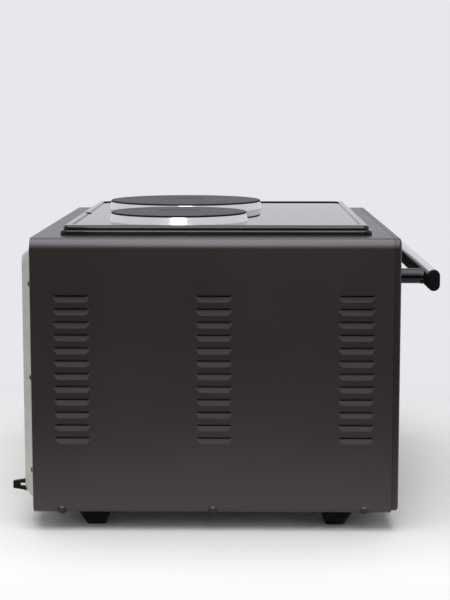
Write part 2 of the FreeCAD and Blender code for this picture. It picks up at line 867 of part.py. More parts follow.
def hotplate_ring(middle, radius):
    """Spill ring that leans outwards from under the hotplate's rim down to the hob plate."""
    inner = radius - hotplate_overhang + ring_gap
    top = casing_top + hotplate_top - hotplate_rim - ring_gap
    outline = [
        (inner, top),
        (inner + ring_wall, top),
        (inner + ring_wall + ring_flare, hob_field),
        (inner + ring_flare, hob_field),
    ]
    return turned("Z", middle, hotplate_depth, outline)


def hotplate_studs():
    top = hob_field - hotplate_body
    span = (top - stud_length, top)
    return group([rod("Z", x, hotplate_depth, span, stud_radius) for x, radius in hotplates])


def hotplate_bridges():
    """Bent straps under the hob plate that the nuts pull up against it."""
    high = hob_field - hob_sheet
    low = hob_field - hotplate_body - fit_gap - bridge_sheet
    pieces = []
    for x, radius in hotplates:
        leg = radius - hotplate_seat + 2 * hotplate_gap
        outer = leg + bridge_sheet
        half = [
            (0, low),
            (outer, low),
            (outer, high - bridge_sheet),
            (outer + bridge_foot, high - bridge_sheet),
            (outer + bridge_foot, high),
            (leg, high),
            (leg, low + bridge_sheet),
        ]
        other_half = [(-reach, height) for reach, height in reversed(half[1:])]
        outline = [(hotplate_depth + reach, height) for reach, height in half + other_half]
        strap = drawn("X", outline, (x - bridge_width / 2, x + bridge_width / 2))
        hole = rod("Z", x, hotplate_depth, (low - past, low + bridge_sheet + past), stud_radius + hole_gap)
        pieces.append(strap.cut(hole))
    return group(pieces)


def hotplate_nuts():
    top = hob_field - hotplate_body - fit_gap - bridge_sheet
    corner = nut_across / math.sqrt(3)
    turns = [math.radians(60 * number) for number in range(6)]
    pieces = []
    for x, radius in hotplates:
        outline = [(x + corner * math.cos(a), hotplate_depth + corner * math.sin(a)) for a in turns]
        nut = drawn("Z", outline, (top - nut_height, top))
        hole = rod("Z", x, hotplate_depth, (top - nut_height - past, top + past), stud_radius + hole_gap)
        pieces.append(nut.cut(hole))
    return group(pieces)


# Oven cavity and what is in it
def heater_heights():
    return (cavity_floor + heater_from_wall, cavity_roof - heater_from_wall)


def heater_legs():
    depths = (cavity_middle_depth - heater_half_gap, cavity_middle_depth + heater_half_gap)
    return [(depth, height) for height in heater_heights() for depth in depths]


def bulb_place():
    return (cavity_middle_depth - bulb_before_middle, cavity_roof - bulb_below_roof)


def ledge_tops():
    return between(cavity_floor + ledge_lowest, cavity_roof - ledge_top_room, ledge_count)


def ledges():
    pieces = []
    deep = (cavity_front + ledge_margin, cavity_back - ledge_margin)
    for top in ledge_tops():
        tall = (top - ledge_thickness, top)
        pieces.append(box((cavity_left, cavity_left + ledge_reach), deep, tall))
        pieces.append(box((cavity_right - ledge_reach, cavity_right), deep, tall))
    return pieces


def oven_cavity():
    sheet = cavity_sheet
    shell = box(
        (cavity_left - sheet, cavity_right + sheet),
        (cavity_front, cavity_back + sheet),
        (cavity_floor - sheet, cavity_roof + sheet),
    )
    flange = box(
        (door_opening_left - frame_sheet, door_opening_right + frame_sheet),
        (cavity_front, cavity_front + sheet),
        (door_opening_bottom - frame_sheet, door_opening_top + frame_sheet),
    )
    inside = box((cavity_left, cavity_right), (cavity_front - past, cavity_back), (cavity_floor, cavity_roof))
    wall = (cavity_right - past, cavity_right + sheet + past)
    holes = [rod("X", depth, height, wall, bush_radius + hole_gap) for depth, height in heater_legs()]
    holes.append(rod("X", *bulb_place(), wall, bulb_radius + hole_gap))
    return join([shell, flange]).cut([inside] + holes).multiFuse(ledges()).removeSplitter()


def door_seal():
    span = (cavity_front - seal_height, cavity_front)
    blocks = []
    for reach in (seal_inset + seal_width, seal_inset):
        across = (cavity_left - reach, cavity_right + reach)
        tall = (cavity_floor - reach, cavity_roof + reach)
        blocks.append(rounded("Y", across, tall, span, reach))
    outer, inner = blocks
    return outer.cut(inner)


def heater(height):
    """Bent rod heater that comes in through the right wall and turns back near the left one."""
    near = cavity_middle_depth - heater_half_gap
    far = cavity_middle_depth + heater_half_gap
    turn = cavity_left + heater_end_gap
    tail = cavity_right + heater_tail
    start = Vector(tail, near, height)
    corners = [Vector(turn, near, height), Vector(turn, far, height), Vector(tail, far, height)]
    return piped(start, corners, [heater_corner_radius, heater_corner_radius], heater_radius)


def heater_bushes():
    wall = cavity_right + cavity_sheet
    bore = heater_radius + fit_gap
    outline = [
        (bore, cavity_right - past),
        (bush_radius, cavity_right - past),
        (bush_radius, wall),
        (bush_flange_radius, wall),
        (bush_flange_radius, wall + bush_flange),
        (bush_radius, wall + bush_flange),
        (bush_radius, wall + bush_length),
        (bore, wall + bush_length),
    ]
    return group([turned("X", depth, height, outline) for depth, height in heater_legs()])


def wire_rack():
    across = (cavity_left + rack_margin + rack_wire, cavity_right - rack_margin - rack_wire)
    deep = (cavity_front + rack_setback + rack_wire, cavity_back - rack_rear_room - rack_wire)
    height = ledge_tops()[rack_level] + rest_gap + rack_wire
    path = rounded_wire("Z", across, deep, height, rack_corner_radius, rack_corner_radius)
    start = path.Edges[0].valueAt(path.Edges[0].FirstParameter)
    heading = path.Edges[0].tangentAt(path.Edges[0].FirstParameter)
    loop = path.makePipeShell([Part.Wire(Part.makeCircle(rack_wire, start, heading))], True, False)
    pitch = (across[1] - across[0]) / (rack_rung_count + 1)
    rungs = [rod("Y", x, height, deep, rack_rung) for x in spaced(across[0] + pitch, pitch, rack_rung_count)]
    brace_depth = (deep[0] + deep[1]) / 2
    brace = rod("X", brace_depth, height, across, rack_rung)
    return join([loop, brace] + rungs)


def baking_tray():
    top = ledge_tops()[tray_level] + rest_gap + tray_sheet
    across = (cavity_left + rack_margin, cavity_right - rack_margin)
    deep = (cavity_front + rack_setback, cavity_back - tray_rear_room)
    lip = rounded("Z", across, deep, (top - tray_sheet, top), tray_corner_radius)
    pan_across = (across[0] + tray_lip, across[1] - tray_lip)
    pan_deep = (deep[0] + tray_lip, deep[1] - tray_lip)
    low = top - tray_height
    pan = rounded("Z", pan_across, pan_deep, (low, top), tray_corner_radius - tray_lip / 2)
    pan = pan.makeFillet(tray_rounding, level_edges(pan, low))
    void = rounded(
        "Z",
        (pan_across[0] + tray_sheet, pan_across[1] - tray_sheet),
        (pan_deep[0] + tray_sheet, pan_deep[1] - tray_sheet),
        (low + tray_sheet, top + past),
        tray_corner_radius - tray_lip / 2 - tray_sheet,
    )
    void = void.makeFillet(tray_rounding - tray_sheet, level_edges(void, low + tray_sheet))
    return join([pan, lip]).cut(void)


# Door
def door_frame():
    across = (door_left, door_right)
    tall = (door_bottom, door_top)
    block = rounded("Y", across, tall, (door_front, door_back), door_corner_radius)
    block = block.makeFillet(door_edge_radius, front_edges(block, door_front))
    inner = door_corner_radius - door_sheet
    void = rounded(
        "Y",
        (door_left + door_sheet, door_right - door_sheet),
        (door_bottom + door_sheet, door_top - door_sheet),
        (door_front + door_sheet, door_back + past),
        inner,
    )
    pane = box(window, (door_front - past, door_front + 2 * door_sheet), window_heights)
    lug_tall = (door_bottom, hinge_height + lug_half_size)
    lug_deep = (door_front + door_sheet, hinge_depth + lug_half_size)
    lugs = [
        box((door_left + door_sheet / 2, door_left + lug_length), lug_deep, lug_tall),
        box((door_right - lug_length, door_right - door_sheet / 2), lug_deep, lug_tall),
    ]
    bore = pin_radius + running_gap
    depth = pin_in_door + 2 * fit_gap
    bores = [
        rod("X", hinge_depth, hinge_height, (door_left - past, door_left + depth), bore),
        rod("X", hinge_depth, hinge_height, (door_right - depth, door_right + past), bore),
    ]
    span = (door_front - past, door_front + 2 * door_sheet)
    screw_holes = [rod("Y", x, handle_z, span, handle_screw_radius + hole_gap) for x in standoffs]
    return join([block.cut([void, pane])] + lugs).cut(bores + screw_holes)


def outer_glass_spans():
    across = (window[0] - glass_overlap, window[1] + glass_overlap)
    tall = (window_heights[0] - glass_overlap, window_heights[1] + glass_overlap)
    front = door_front + door_sheet
    return across, (front, front + outer_glass_thickness), tall


def inner_window():
    across = (window[0] + inner_window_inset, window[1] - inner_window_inset)
    tall = (window_heights[0] + inner_window_inset, window_heights[1] - inner_window_inset)
    return across, tall


def inner_glass_spans():
    across, tall = inner_window()
    back = door_back - door_sheet
    wide = (across[0] - glass_overlap, across[1] + glass_overlap)
    high = (tall[0] - glass_overlap, tall[1] + glass_overlap)
    return wide, (back - inner_glass_thickness, back), high


def pane_of_glass(spans):
    return box(*spans)


def door_inner_panel():
    inset = door_sheet + fit_gap
    plate = rounded(
        "Y",
        (door_left + inset, door_right - inset),
        (door_bottom + inset, door_top - inset),
        (door_back - door_sheet, door_back),
        door_corner_radius - door_sheet,
    )
    across, tall = inner_window()
    return plate.cut(box(across, (door_back - 2 * door_sheet, door_back + past), tall))


def glass_clips():
    """Z-shaped clips beside both panes, two on each upright edge."""
    pieces = []
    for spans, sense in ((outer_glass_spans(), 1), (inner_glass_spans(), -1)):
        across, deep, tall = spans
        sheet_face = deep[0] if sense == 1 else deep[1]
        glass_face = deep[1] if sense == 1 else deep[0]
        outside = glass_face + sense * clip_thickness
        quarter = (tall[1] - tall[0]) / 4
        for z in (tall[0] + quarter, tall[1] - quarter):
            high = (z - clip_width / 2, z + clip_width / 2)
            for edge, away in ((across[0], -1), (across[1], 1)):
                foot = sorted((edge + away * fit_gap, edge + away * clip_reach))
                tab = sorted((edge - away * clip_reach, edge + away * clip_reach))
                pieces.append(join([
                    box(foot, sorted((sheet_face, outside)), high),
                    box(tab, sorted((glass_face, outside)), high),
                ]))
    return group(pieces)


def hinge_pins():
    outside = hinge_bracket + frame_sheet + door_gap
    pieces = [
        rod("X", hinge_depth, hinge_height, (door_left - outside, door_left + pin_in_door), pin_radius),
        rod("X", hinge_depth, hinge_height, (door_right - pin_in_door, door_right + outside), pin_radius),
    ]
    return group(pieces)


def hinge_brackets():
    """Plates outside the doorway's side walls that hold the pins."""
    pieces = []
    for face, away in ((door_opening_left, -1), (door_opening_right, 1)):
        inside = face + away * frame_sheet
        across = sorted((inside, inside + away * hinge_bracket))
        deep = (panel_back + hole_gap, hinge_depth + bracket_reach)
        plate = box(across, deep, (door_opening_bottom, hinge_height + bracket_rise))
        span = (across[0] - past, across[1] + past)
        pieces.append(plate.cut(rod("X", hinge_depth, hinge_height, span, pin_radius + running_gap)))
    return group(pieces)


def hinge_washers():
    """Friction washers on the pins, between the doorway and the door."""
    thickness = door_gap - washer_gap
    pieces = []
    for face, toward in ((door_opening_left, 1), (door_opening_right, -1)):
        span = sorted((face, face + toward * thickness))
        disc = rod("X", hinge_depth, hinge_height, span, washer_radius)
        bore = rod("X", hinge_depth, hinge_height, (span[0] - past, span[1] + past), pin_radius + hole_gap)
        pieces.append(disc.cut(bore))
    return group(pieces)


def bar_section(inset, span):
    deep = (bar_front + inset, bar_back - inset)
    half = handle_height / 2
    tall = (handle_z - half + inset, handle_z + half - inset)
    return rounded("X", deep, tall, span, handle_thickness / 2 - inset)


def handle_bar():
    span = (handle_left + cap_thickness, handle_right - cap_thickness)
    bar = bar_section(0, span)
    void = bar_section(handle_wall, (span[0] - past, span[1] + past))
    wall = (bar_back - 2 * handle_wall, bar_back + past)
    holes = [rod("Y", x, handle_z, wall, handle_screw_radius + hole_gap) for x in standoffs]
    return bar.cut([void] + holes)


def handle_end_caps():
    pieces = []
    for end, inward in ((handle_left, 1), (handle_right, -1)):
        seat = end + inward * cap_thickness
        disc = bar_section(0, sorted((end, seat)))
        rim = [e for e in disc.Edges if abs(e.BoundBox.XMin - end) + abs(e.BoundBox.XMax - end) < 1e-4]
        disc = disc.makeFillet(cap_edge_radius, rim)
        plug_span = sorted((end + inward * cap_edge_radius, seat + inward * cap_plug))
        plug = bar_section(handle_wall + fit_gap, plug_span)
        pieces.append(disc.fuse(plug))
    return group(pieces)


def handle_standoffs():
    bore = handle_screw_radius + hole_gap
    outline = [
        (bore, bar_back),
        (standoff_radius + standoff_flare, bar_back),
        (standoff_radius, bar_back + standoff_collar),
        (standoff_radius, door_front),
        (bore, door_front),
    ]
    return group([turned("Y", x, handle_z, outline) for x in standoffs])


def handle_screws():
    seat = door_front + door_sheet
    head = handle_screw_head
    tip = bar_back - handle_wall - screw_point
    outline = [(0, tip), (handle_screw_radius, tip), (handle_screw_radius, seat)]
    outline += [(head, seat), (head, seat + handle_screw_radius), (0, seat + handle_screw_radius)]
    return group([turned("Y", x, handle_z, outline) for x in standoffs])


# Controls
control_names = list(control_shapes)
control_heights = between(casing_bottom + knob_lowest, casing_top - knob_top_room, len(control_names))


def lamp_places():
    return [(x, control_heights[-1] + lamp_rise) for x in centred(control_middle, lamp_pitch, 2)]


def knob(height):
    skirt_front = knob_back - knob_skirt
    body_front = knob_back - knob_height
    outline = [
        (0, knob_back),
        (knob_skirt_radius, knob_back),
        (knob_skirt_radius - knob_rounding / 2, skirt_front),
        (knob_radius, skirt_front),
        (knob_radius - knob_taper, body_front + knob_rounding),
        (knob_radius - knob_taper - knob_rounding, body_front),
        (0, body_front),
    ]
    body = turned("Y", control_middle, height, outline)
    across = (control_middle - grip_width / 2, control_middle + grip_width / 2)
    tall = (height - grip_length / 2, height + grip_length / 2)
    grip_front = knob_back - grip_height
    grip = rounded("Y", across, tall, (grip_front, skirt_front), grip_corner_radius)
    grip = grip.makeFillet(grip_rounding, front_edges(grip, grip_front))
    depth = (knob_back - spindle_in_knob - fit_gap, knob_back + past)
    return join([body, grip]).cut(rod("Y", control_middle, height, depth, spindle_radius + running_gap))


def spindle(height):
    span = (knob_back - spindle_in_knob, panel_back + spindle_in_control)
    return rod("Y", control_middle, height, span, spindle_radius)


def blades(height, back, count):
    """Push-on terminals behind a control."""
    across = centred(control_middle, blade_pitch, count)
    half = blade_width / 2
    thin = blade_thickness / 2
    deep = (back - past, back + blade_length)
    return [box((x - thin, x + thin), deep, (height - half, height + half)) for x in across]


def control_body(height, size, dome, blade_count):
    """Control behind the panel: a box, a round dome behind it, terminals and a bush through the panel."""
    width, tall, depth = size
    dome_radius, dome_depth = dome
    back = panel_back + depth
    case = box(
        (control_middle - width / 2, control_middle + width / 2),
        (panel_back, back),
        (height - tall / 2, height + tall / 2),
    )
    cover = rod("Y", control_middle, height, (back - past, back + dome_depth), dome_radius)
    bush = rod("Y", control_middle, height, (panel_front, panel_back + past), control_bush_radius)
    pieces = [case, cover, bush] + blades(height, back + dome_depth, blade_count)
    bore = (panel_front - past, panel_back + spindle_in_control + fit_gap)
    return join(pieces).cut(rod("Y", control_middle, height, bore, spindle_radius + running_gap))


def control_back(name):
    size, dome, blade_count = control_shapes[name]
    return panel_back + size[2] + dome[1] + blade_length


def indicator_lamps():
    turns = [math.radians(angle) for angle in (90, 60, 30, 0)]
    dome = [(lamp_radius * math.cos(a), panel_front - lamp_dome * math.sin(a)) for a in turns]
    outline = dome + [(lamp_radius, panel_back + lamp_body), (0, panel_back + lamp_body)]
    return group([turned("Y", x, z, outline) for x, z in lamp_places()])


def thermostat_bulb():
    """Bulb in the cavity with its thin tube back to the thermostat."""
    depth, height = bulb_place()
    wall = cavity_right + cavity_sheet
    start_height = control_heights[control_names.index("thermostat")]
    start = Vector(control_middle - capillary_offset, control_back("thermostat") - blade_length, start_height)
    riser = Vector(start.x, depth, start_height)
    corner = Vector(start.x, depth, height)
    end = Vector(wall, depth, height)
    tube = piped(start, [riser, corner, end], [capillary_bend, capillary_bend], capillary_radius)
    bulb = rod("X", depth, height, (cavity_right - bulb_length, wall + capillary_bend / 2), bulb_radius)
    return tube.fuse(bulb)


def terminal_block():
    floor = casing_bottom + casing_sheet + base_sheet
    back = rear_edge - terminal_from_rear
    block = box(
        (control_middle - terminal_length / 2, control_middle + terminal_length / 2),
        (back - terminal_depth, back),
        (floor, floor + terminal_height),
    )
    holes = []
    for x in centred(control_middle, terminal_pitch, terminal_ways):
        span = (back - terminal_hole_depth, back + past)
        holes.append(rod("Y", x, floor + terminal_height / 2, span, terminal_hole_radius))
    return block.cut(holes)


def wiring_harness():
    """Sleeved trunk from the terminal block up behind the controls, with a lead to each."""
    block_front = rear_edge - terminal_from_rear - terminal_depth
    low = casing_bottom + casing_sheet + base_sheet + terminal_height / 2
    trunk_depth = panel_back + trunk_setback
    top = control_heights[-1]
    trunk = [
        rod("Y", control_middle, low, (trunk_depth, block_front), trunk_radius),
        rod("Z", control_middle, trunk_depth, (low, top + trunk_radius), trunk_radius),
        Part.makeSphere(trunk_radius, Vector(control_middle, trunk_depth, low)),
    ]
    leads = []
    for name, z in zip(control_names, control_heights):
        size, dome, blade_count = control_shapes[name]
        first = centred(control_middle, blade_pitch, blade_count)[-1]
        lead_start = control_back(name)
        leads.append(rod("Y", first, z, (lead_start, trunk_depth), branch_radius))
        leads.append(rod("X", trunk_depth, z, sorted((control_middle, first)), branch_radius))
        leads.append(Part.makeSphere(branch_radius, Vector(first, trunk_depth, z)))
    return join(trunk + leads)


def cable_gland():
    outer_face = bulge_face + gland_flange
    inner_face = bulge_face - back_sheet
    outline = [
        (gland_bore, inner_face - gland_flange),
        (gland_flange_radius, inner_face - gland_flange),
        (gland_flange_radius, inner_face),
        (gland_radius, inner_face),
        (gland_radius, bulge_face),
        (gland_flange_radius, bulge_face),
        (gland_flange_radius - gland_flange / 2, outer_face),
        (gland_bore, outer_face),
    ]
    return turned("Y", control_middle, casing_bottom + gland_height, outline)


# Nodes
nodes = {
    "outer_casing": outer_casing(),
    "front_frame": front_frame(),
    "control_panel": control_panel(),
    "back_panel": back_panel(),
    "rear_spacers": rear_spacers(),
    "base_plate": base_plate(),
    "feet": feet(),
    "casing_screws": casing_screws(),
    "foot_screws": foot_screws(),
    "back_panel_screws": back_panel_screws(),
    "hob_plate": hob_plate(),
    "small_hotplate": hotplate(*hotplates[0]),
    "large_hotplate": hotplate(*hotplates[1]),
    "small_hotplate_ring": hotplate_ring(*hotplates[0]),
    "large_hotplate_ring": hotplate_ring(*hotplates[1]),
    "hotplate_studs": hotplate_studs(),
    "hotplate_bridges": hotplate_bridges(),
    "hotplate_nuts": hotplate_nuts(),
    "oven_cavity": oven_cavity(),
    "door_seal": door_seal(),
    "lower_heater": heater(heater_heights()[0]),
    "upper_heater": heater(heater_heights()[1]),
    "heater_bushes": heater_bushes(),
    "hinge_brackets": hinge_brackets(),
    "hinge_pins": hinge_pins(),
    "hinge_washers": hinge_washers(),
    "indicator_lamps": indicator_lamps(),
    "thermostat_bulb": thermostat_bulb(),
    "terminal_block": terminal_block(),
    "wiring_harness": wiring_harness(),
    "cable_gland": cable_gland(),
    "door_frame": door_frame(),
    "door_outer_glass": pane_of_glass(outer_glass_spans()),
    "door_inner_panel": door_inner_panel(),
    "door_inner_glass": pane_of_glass(inner_glass_spans()),
    "glass_clips": glass_clips(),
    "handle_bar": handle_bar(),
    "handle_end_caps": handle_end_caps(),
    "handle_standoffs": handle_standoffs(),
    "handle_screws": handle_screws(),
    "wire_rack": wire_rack(),
    "baking_tray": baking_tray(),
}
for control_name, control_height in zip(control_names, control_heights):
    nodes[control_name] = control_body(control_height, *control_shapes[control_name])
    nodes[control_name + "_knob"] = knob(control_height)
    nodes[control_name + "_spindle"] = spindle(control_height)

os.makedirs("parts", exist_ok=True)
for node_name, node_shape in nodes.items():
    node_shape.exportStep("parts/" + node_name + ".step")
    volume = round(node_shape.Volume / 1000, 2)
    print(node_name, len(node_shape.Solids), "solids", volume, "cm3", node_shape.isValid())
print("door axis at depth", round(hinge_depth, 3), "height", round(hinge_height, 3))
print("knob axes at", round(control_middle, 3), "heights", [round(z, 3) for z in control_heights])
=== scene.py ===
# %% [markdown]
# # A tabletop oven with two hotplates
# The shapes of this oven were drawn in a CAD program, and here they get their finishes, their small printed and
# pressed details, a floor, light and a camera. Everything is in metres. X runs to the right for a cook who faces the
# door, Y runs from the door to the back, and Z is up from the table.
# The first step loads the solids. They stay where they are.

# %% Load the solids
import json
import math

import bmesh
import bpy
from mathutils import Matrix, Vector


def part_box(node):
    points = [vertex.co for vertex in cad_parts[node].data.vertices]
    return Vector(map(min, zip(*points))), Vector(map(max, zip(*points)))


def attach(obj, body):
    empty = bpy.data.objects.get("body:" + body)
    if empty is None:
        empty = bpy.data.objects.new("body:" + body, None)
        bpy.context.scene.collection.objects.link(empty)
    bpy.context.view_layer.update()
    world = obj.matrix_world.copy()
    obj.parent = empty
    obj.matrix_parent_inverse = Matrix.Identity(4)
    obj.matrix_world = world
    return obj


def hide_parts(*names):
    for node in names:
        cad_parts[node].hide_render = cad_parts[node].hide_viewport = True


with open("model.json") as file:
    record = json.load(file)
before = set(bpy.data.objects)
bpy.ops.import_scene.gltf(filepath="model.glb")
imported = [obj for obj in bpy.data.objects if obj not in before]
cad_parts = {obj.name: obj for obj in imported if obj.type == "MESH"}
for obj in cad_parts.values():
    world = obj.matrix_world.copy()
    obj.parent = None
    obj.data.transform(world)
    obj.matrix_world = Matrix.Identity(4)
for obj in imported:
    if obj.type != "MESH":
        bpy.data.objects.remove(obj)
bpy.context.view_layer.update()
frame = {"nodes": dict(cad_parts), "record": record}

nodes = frame["nodes"]

# %% [markdown]
# Finishes and repeated shapes are both networks of nodes. Wiring them line by line is long, so one small class wraps
# a socket. Its operators add Math nodes, so that a mask can be written as a sum, and its `node` method makes any other
# node: the settings go first, because some of them change which sockets a node has.

# %% A socket with operators
class Flow:
    """One socket of a node tree, with Python's operators."""

    def __init__(self, tree, socket=None):
        self.tree = tree
        self.socket = socket

    def node(self, kind, settings=None, sockets=None, out=0):
        made = self.tree.nodes.new(kind)
        for name, value in (settings or {}).items():
            setattr(made, name, value)
        for key, value in (sockets or {}).items():
            for single in value if isinstance(value, list) else [value]:
                if isinstance(single, Flow):
                    self.tree.links.new(single.socket, made.inputs[key])
                else:
                    made.inputs[key].default_value = single
        return Flow(self.tree, made.outputs[out])

    def maths(self, operation, first, second=0.0):
        return self.node("ShaderNodeMath", {"operation": operation}, {0: first, 1: second})

    def __add__(self, other):
        return self.maths("ADD", self, other)

    def __sub__(self, other):
        return self.maths("SUBTRACT", self, other)

    def __rsub__(self, other):
        return self.maths("SUBTRACT", other, self)

    def __mul__(self, other):
        return self.maths("MULTIPLY", self, other)

    __radd__ = __add__
    __rmul__ = __mul__

    def fade(self, start, end):
        """0 before start and 1 after end, with a smooth change between them."""
        return self.node("ShaderNodeMapRange", {"interpolation_type": "SMOOTHSTEP"}, {0: self, 1: start, 2: end})

    def tint(self, low, high):
        """Colour between two colours, with this value as the share of the second."""
        return self.node("ShaderNodeMix", {"data_type": "RGBA"}, {0: self, 6: low, 7: high}, out=2)


print("a wrapped socket can add, subtract, multiply, fade and tint")

# %% [markdown]
# Every finish starts as a Principled shader. Values that are the same all over are set on the shader itself. Values
# that change over the surface come from textures on Object coordinates. All pieces sit at the origin with their place
# in the mesh, so those coordinates are metres on the oven, and a texture scale of 700 means grains of about 1.4 mm.

# %% Helpers for finishes
shader_sockets = {
    "colour": "Base Color", "roughness": "Roughness", "metallic": "Metallic", "alpha": "Alpha", "normal": "Normal",
    "coat": "Coat Weight", "coat_roughness": "Coat Roughness", "specular": "Specular IOR Level",
    "specular_tint": "Specular Tint",
}


def start_finish(name, **even):
    """New material with its even values set, and a flow to build the rest from."""
    made = bpy.data.materials.new(name)
    made.use_nodes = True
    shader = made.node_tree.nodes["Principled BSDF"]
    for word, value in even.items():
        shader.inputs[shader_sockets[word]].default_value = value
    return made, Flow(made.node_tree)


def feed(made, **varied):
    """Links flows to the shader of a material."""
    shader = made.node_tree.nodes["Principled BSDF"]
    for word, flow in varied.items():
        made.node_tree.links.new(flow.socket, shader.inputs[shader_sockets[word]])
    return made


def rgb(red, green, blue):
    return (red, green, blue, 1.0)


def spot(flow, shift=(0, 0, 0), stretch=(1, 1, 1)):
    """Place on the oven, stretched and then moved."""
    here = flow.node("ShaderNodeTexCoord", out="Object")
    return flow.node("ShaderNodeMapping", {}, {"Vector": here, "Location": shift, "Scale": stretch})


def cloud(flow, scale, detail=2.0, stretch=(1, 1, 1)):
    """Soft noise with about this many grains to the metre."""
    here = spot(flow, stretch=stretch)
    return flow.node("ShaderNodeTexNoise", {}, {"Vector": here, "Scale": scale, "Detail": detail})


def relief(height, depth):
    """Surface bumps of this depth in metres."""
    return height.node("ShaderNodeBump", {}, {"Height": height, "Distance": depth})


def axis_value(flow, place, letter):
    return flow.node("ShaderNodeSeparateXYZ", {}, {0: place}, out="XYZ".index(letter))


def ripple(along, pitch):
    """Sine wave with this pitch in metres."""
    return along.maths("SINE", along * (2 * math.pi / pitch))


finish = {}
print("finishes read", len(shader_sockets), "kinds of value")

# %% [markdown]
# The casing is steel sheet with a satin powder coat, a dark brown that looks almost black. Powder melts into a skin
# with a faint orange peel, so a fine noise gives bumps of a few hundredths of a millimetre. A slow noise shifts the
# colour and the gloss from place to place, and the lowest centimetres get pale scuffs, where a cloth or a worktop
# rubs. The front frame and the door carry the same coat, a little deeper.

# %% Powder coat on the casing, the front frame and the screws
scuff_low, scuff_high = 0.019, 0.045


def powder_coat(name, deep, light, gloss, blur):
    made, flow = start_finish(name, specular=gloss, specular_tint=rgb(0.95, 0.90, 1.0))
    peel = cloud(flow, 620, 2.0)
    grain = cloud(flow, 2400, 1.0)
    drift = cloud(flow, 8, 3.0)
    height = axis_value(flow, spot(flow), "Z")
    near_table = 1 - height.fade(scuff_low, scuff_high)
    rubbed = near_table * cloud(flow, 160, 4.0, (0.25, 0.25, 1)).fade(0.58, 0.78)
    coat = (drift * 0.7 + grain * 0.3).tint(deep, light)
    return feed(
        made,
        colour=(rubbed * 0.35).tint(coat, rgb(0.09, 0.082, 0.08)),
        roughness=blur + 0.10 * drift + 0.05 * peel + 0.1 * rubbed,
        normal=relief(peel + 0.35 * grain, 0.000022),
    )


finish["casing_paint"] = powder_coat(
    "casing_paint", rgb(0.0183, 0.0137, 0.0132), rgb(0.0286, 0.0217, 0.0210), gloss=0.66, blur=0.27)
finish["frame_paint"] = powder_coat(
    "frame_paint", rgb(0.0122, 0.0090, 0.0086), rgb(0.0196, 0.0147, 0.0141), gloss=0.55, blur=0.27)
finish["painted_screws"] = powder_coat(
    "painted_screws", rgb(0.0100, 0.0075, 0.0070), rgb(0.0170, 0.0130, 0.0122), gloss=0.4, blur=0.42)
print("powder coats:", list(finish))

# %% [markdown]
# The back panel and the base plate are galvanised sheet. Zinc freezes in crystals a few millimetres wide, each with its
# own brightness. Voronoi cells are such crystals: each cell has a random colour, and one channel of it sets the tone
# and the gloss. A little noise on the coordinates keeps the borders from looking ruled.

# %% Galvanised sheet and zinc-plated steel
crystals_to_the_metre, most_bend = 150, 0.006


def crystals(flow):
    """Random value for each crystal of a zinc skin."""
    here = spot(flow)
    wobble = flow.node("ShaderNodeTexNoise", {}, {"Vector": here, "Scale": 120.0}, out=1)
    bent = flow.node("ShaderNodeVectorMath", {"operation": "MULTIPLY_ADD"}, {0: wobble, 1: (most_bend,) * 3, 2: here})
    cells = flow.node("ShaderNodeTexVoronoi", {}, {"Vector": bent, "Scale": crystals_to_the_metre}, out="Color")
    return flow.node("ShaderNodeSeparateColor", {}, {0: cells}, out=0)


def galvanised():
    made, flow = start_finish("galvanised_sheet", metallic=0.85)
    crystal = crystals(flow)
    dull = cloud(flow, 30, 3.0)
    return feed(
        made,
        colour=(crystal * 0.6 + dull * 0.4).tint(rgb(0.44, 0.435, 0.40), rgb(0.54, 0.535, 0.495)),
        roughness=0.38 + 0.08 * crystal + 0.05 * dull,
        normal=relief(0.5 * crystal + cloud(flow, 900, 2.0), 0.000008),
    )


def zinc_plate():
    made, flow = start_finish("zinc_steel", metallic=1.0)
    tone = cloud(flow, 260, 3.0)
    return feed(
        made,
        colour=tone.fade(0.35, 0.65).tint(rgb(0.60, 0.62, 0.66), rgb(0.66, 0.62, 0.50)),
        roughness=0.24 + 0.2 * cloud(flow, 900, 2.0),
        normal=relief(cloud(flow, 2200, 1.0), 0.00001),
    )


finish["galvanised_sheet"] = galvanised()
finish["zinc_steel"] = zinc_plate()
print("zinc finishes made, crystals about", round(1000 / crystals_to_the_metre, 1), "mm wide")

# %% [markdown]
# The hob plate is black enamel, glass melted on steel. At the flat angle of the camera it mirrors the room behind
# it. Enamel never lies quite flat, so a slow wave of a few hundredths of a millimetre bends that mirror image, and a
# faint film from wiping changes the gloss. The oven lining and the tray are enamel too, with pale flecks in it. The
# outside of the lining's left wall, which shows through the louvres, is left plain.

# %% Enamel on the hob, in the oven and on the tray
def plain_enamel(name, colour_low, colour_high):
    made, flow = start_finish(name, specular=0.35, specular_tint=rgb(0.98, 0.95, 1.0))
    film = cloud(flow, 14, 4.0, (1, 0.35, 1)).fade(0.45, 0.75)
    wave = cloud(flow, 22, 1.0)
    return feed(
        made,
        colour=film.tint(colour_low, colour_high),
        roughness=0.015 + 0.035 * film + 0.015 * cloud(flow, 500, 2.0),
        normal=relief(wave + 0.01 * cloud(flow, 420, 1.0), 0.00002),
    )


left_wall, wall_edge = -0.2106, 0.0002  # X between the two faces of the lining's left wall


def flecked_enamel(name, ground, light_ground, fleck, blur):
    made, flow = start_finish(name, specular=0.5)
    dots = flow.node("ShaderNodeTexVoronoi", {}, {"Vector": spot(flow), "Scale": 330.0}, out="Distance")
    chosen = cloud(flow, 140, 2.0).fade(0.5, 0.56)
    inside = axis_value(flow, spot(flow), "X").fade(left_wall - wall_edge, left_wall)
    mask = (1 - dots.fade(0.16, 0.26)) * chosen * inside
    tone = cloud(flow, 20, 3.0).tint(ground, light_ground)
    return feed(
        made,
        colour=mask.tint(tone, fleck),
        roughness=blur + 0.12 * cloud(flow, 60, 3.0),
        normal=relief(cloud(flow, 300, 2.0) + 0.5 * mask, 0.00003),
    )


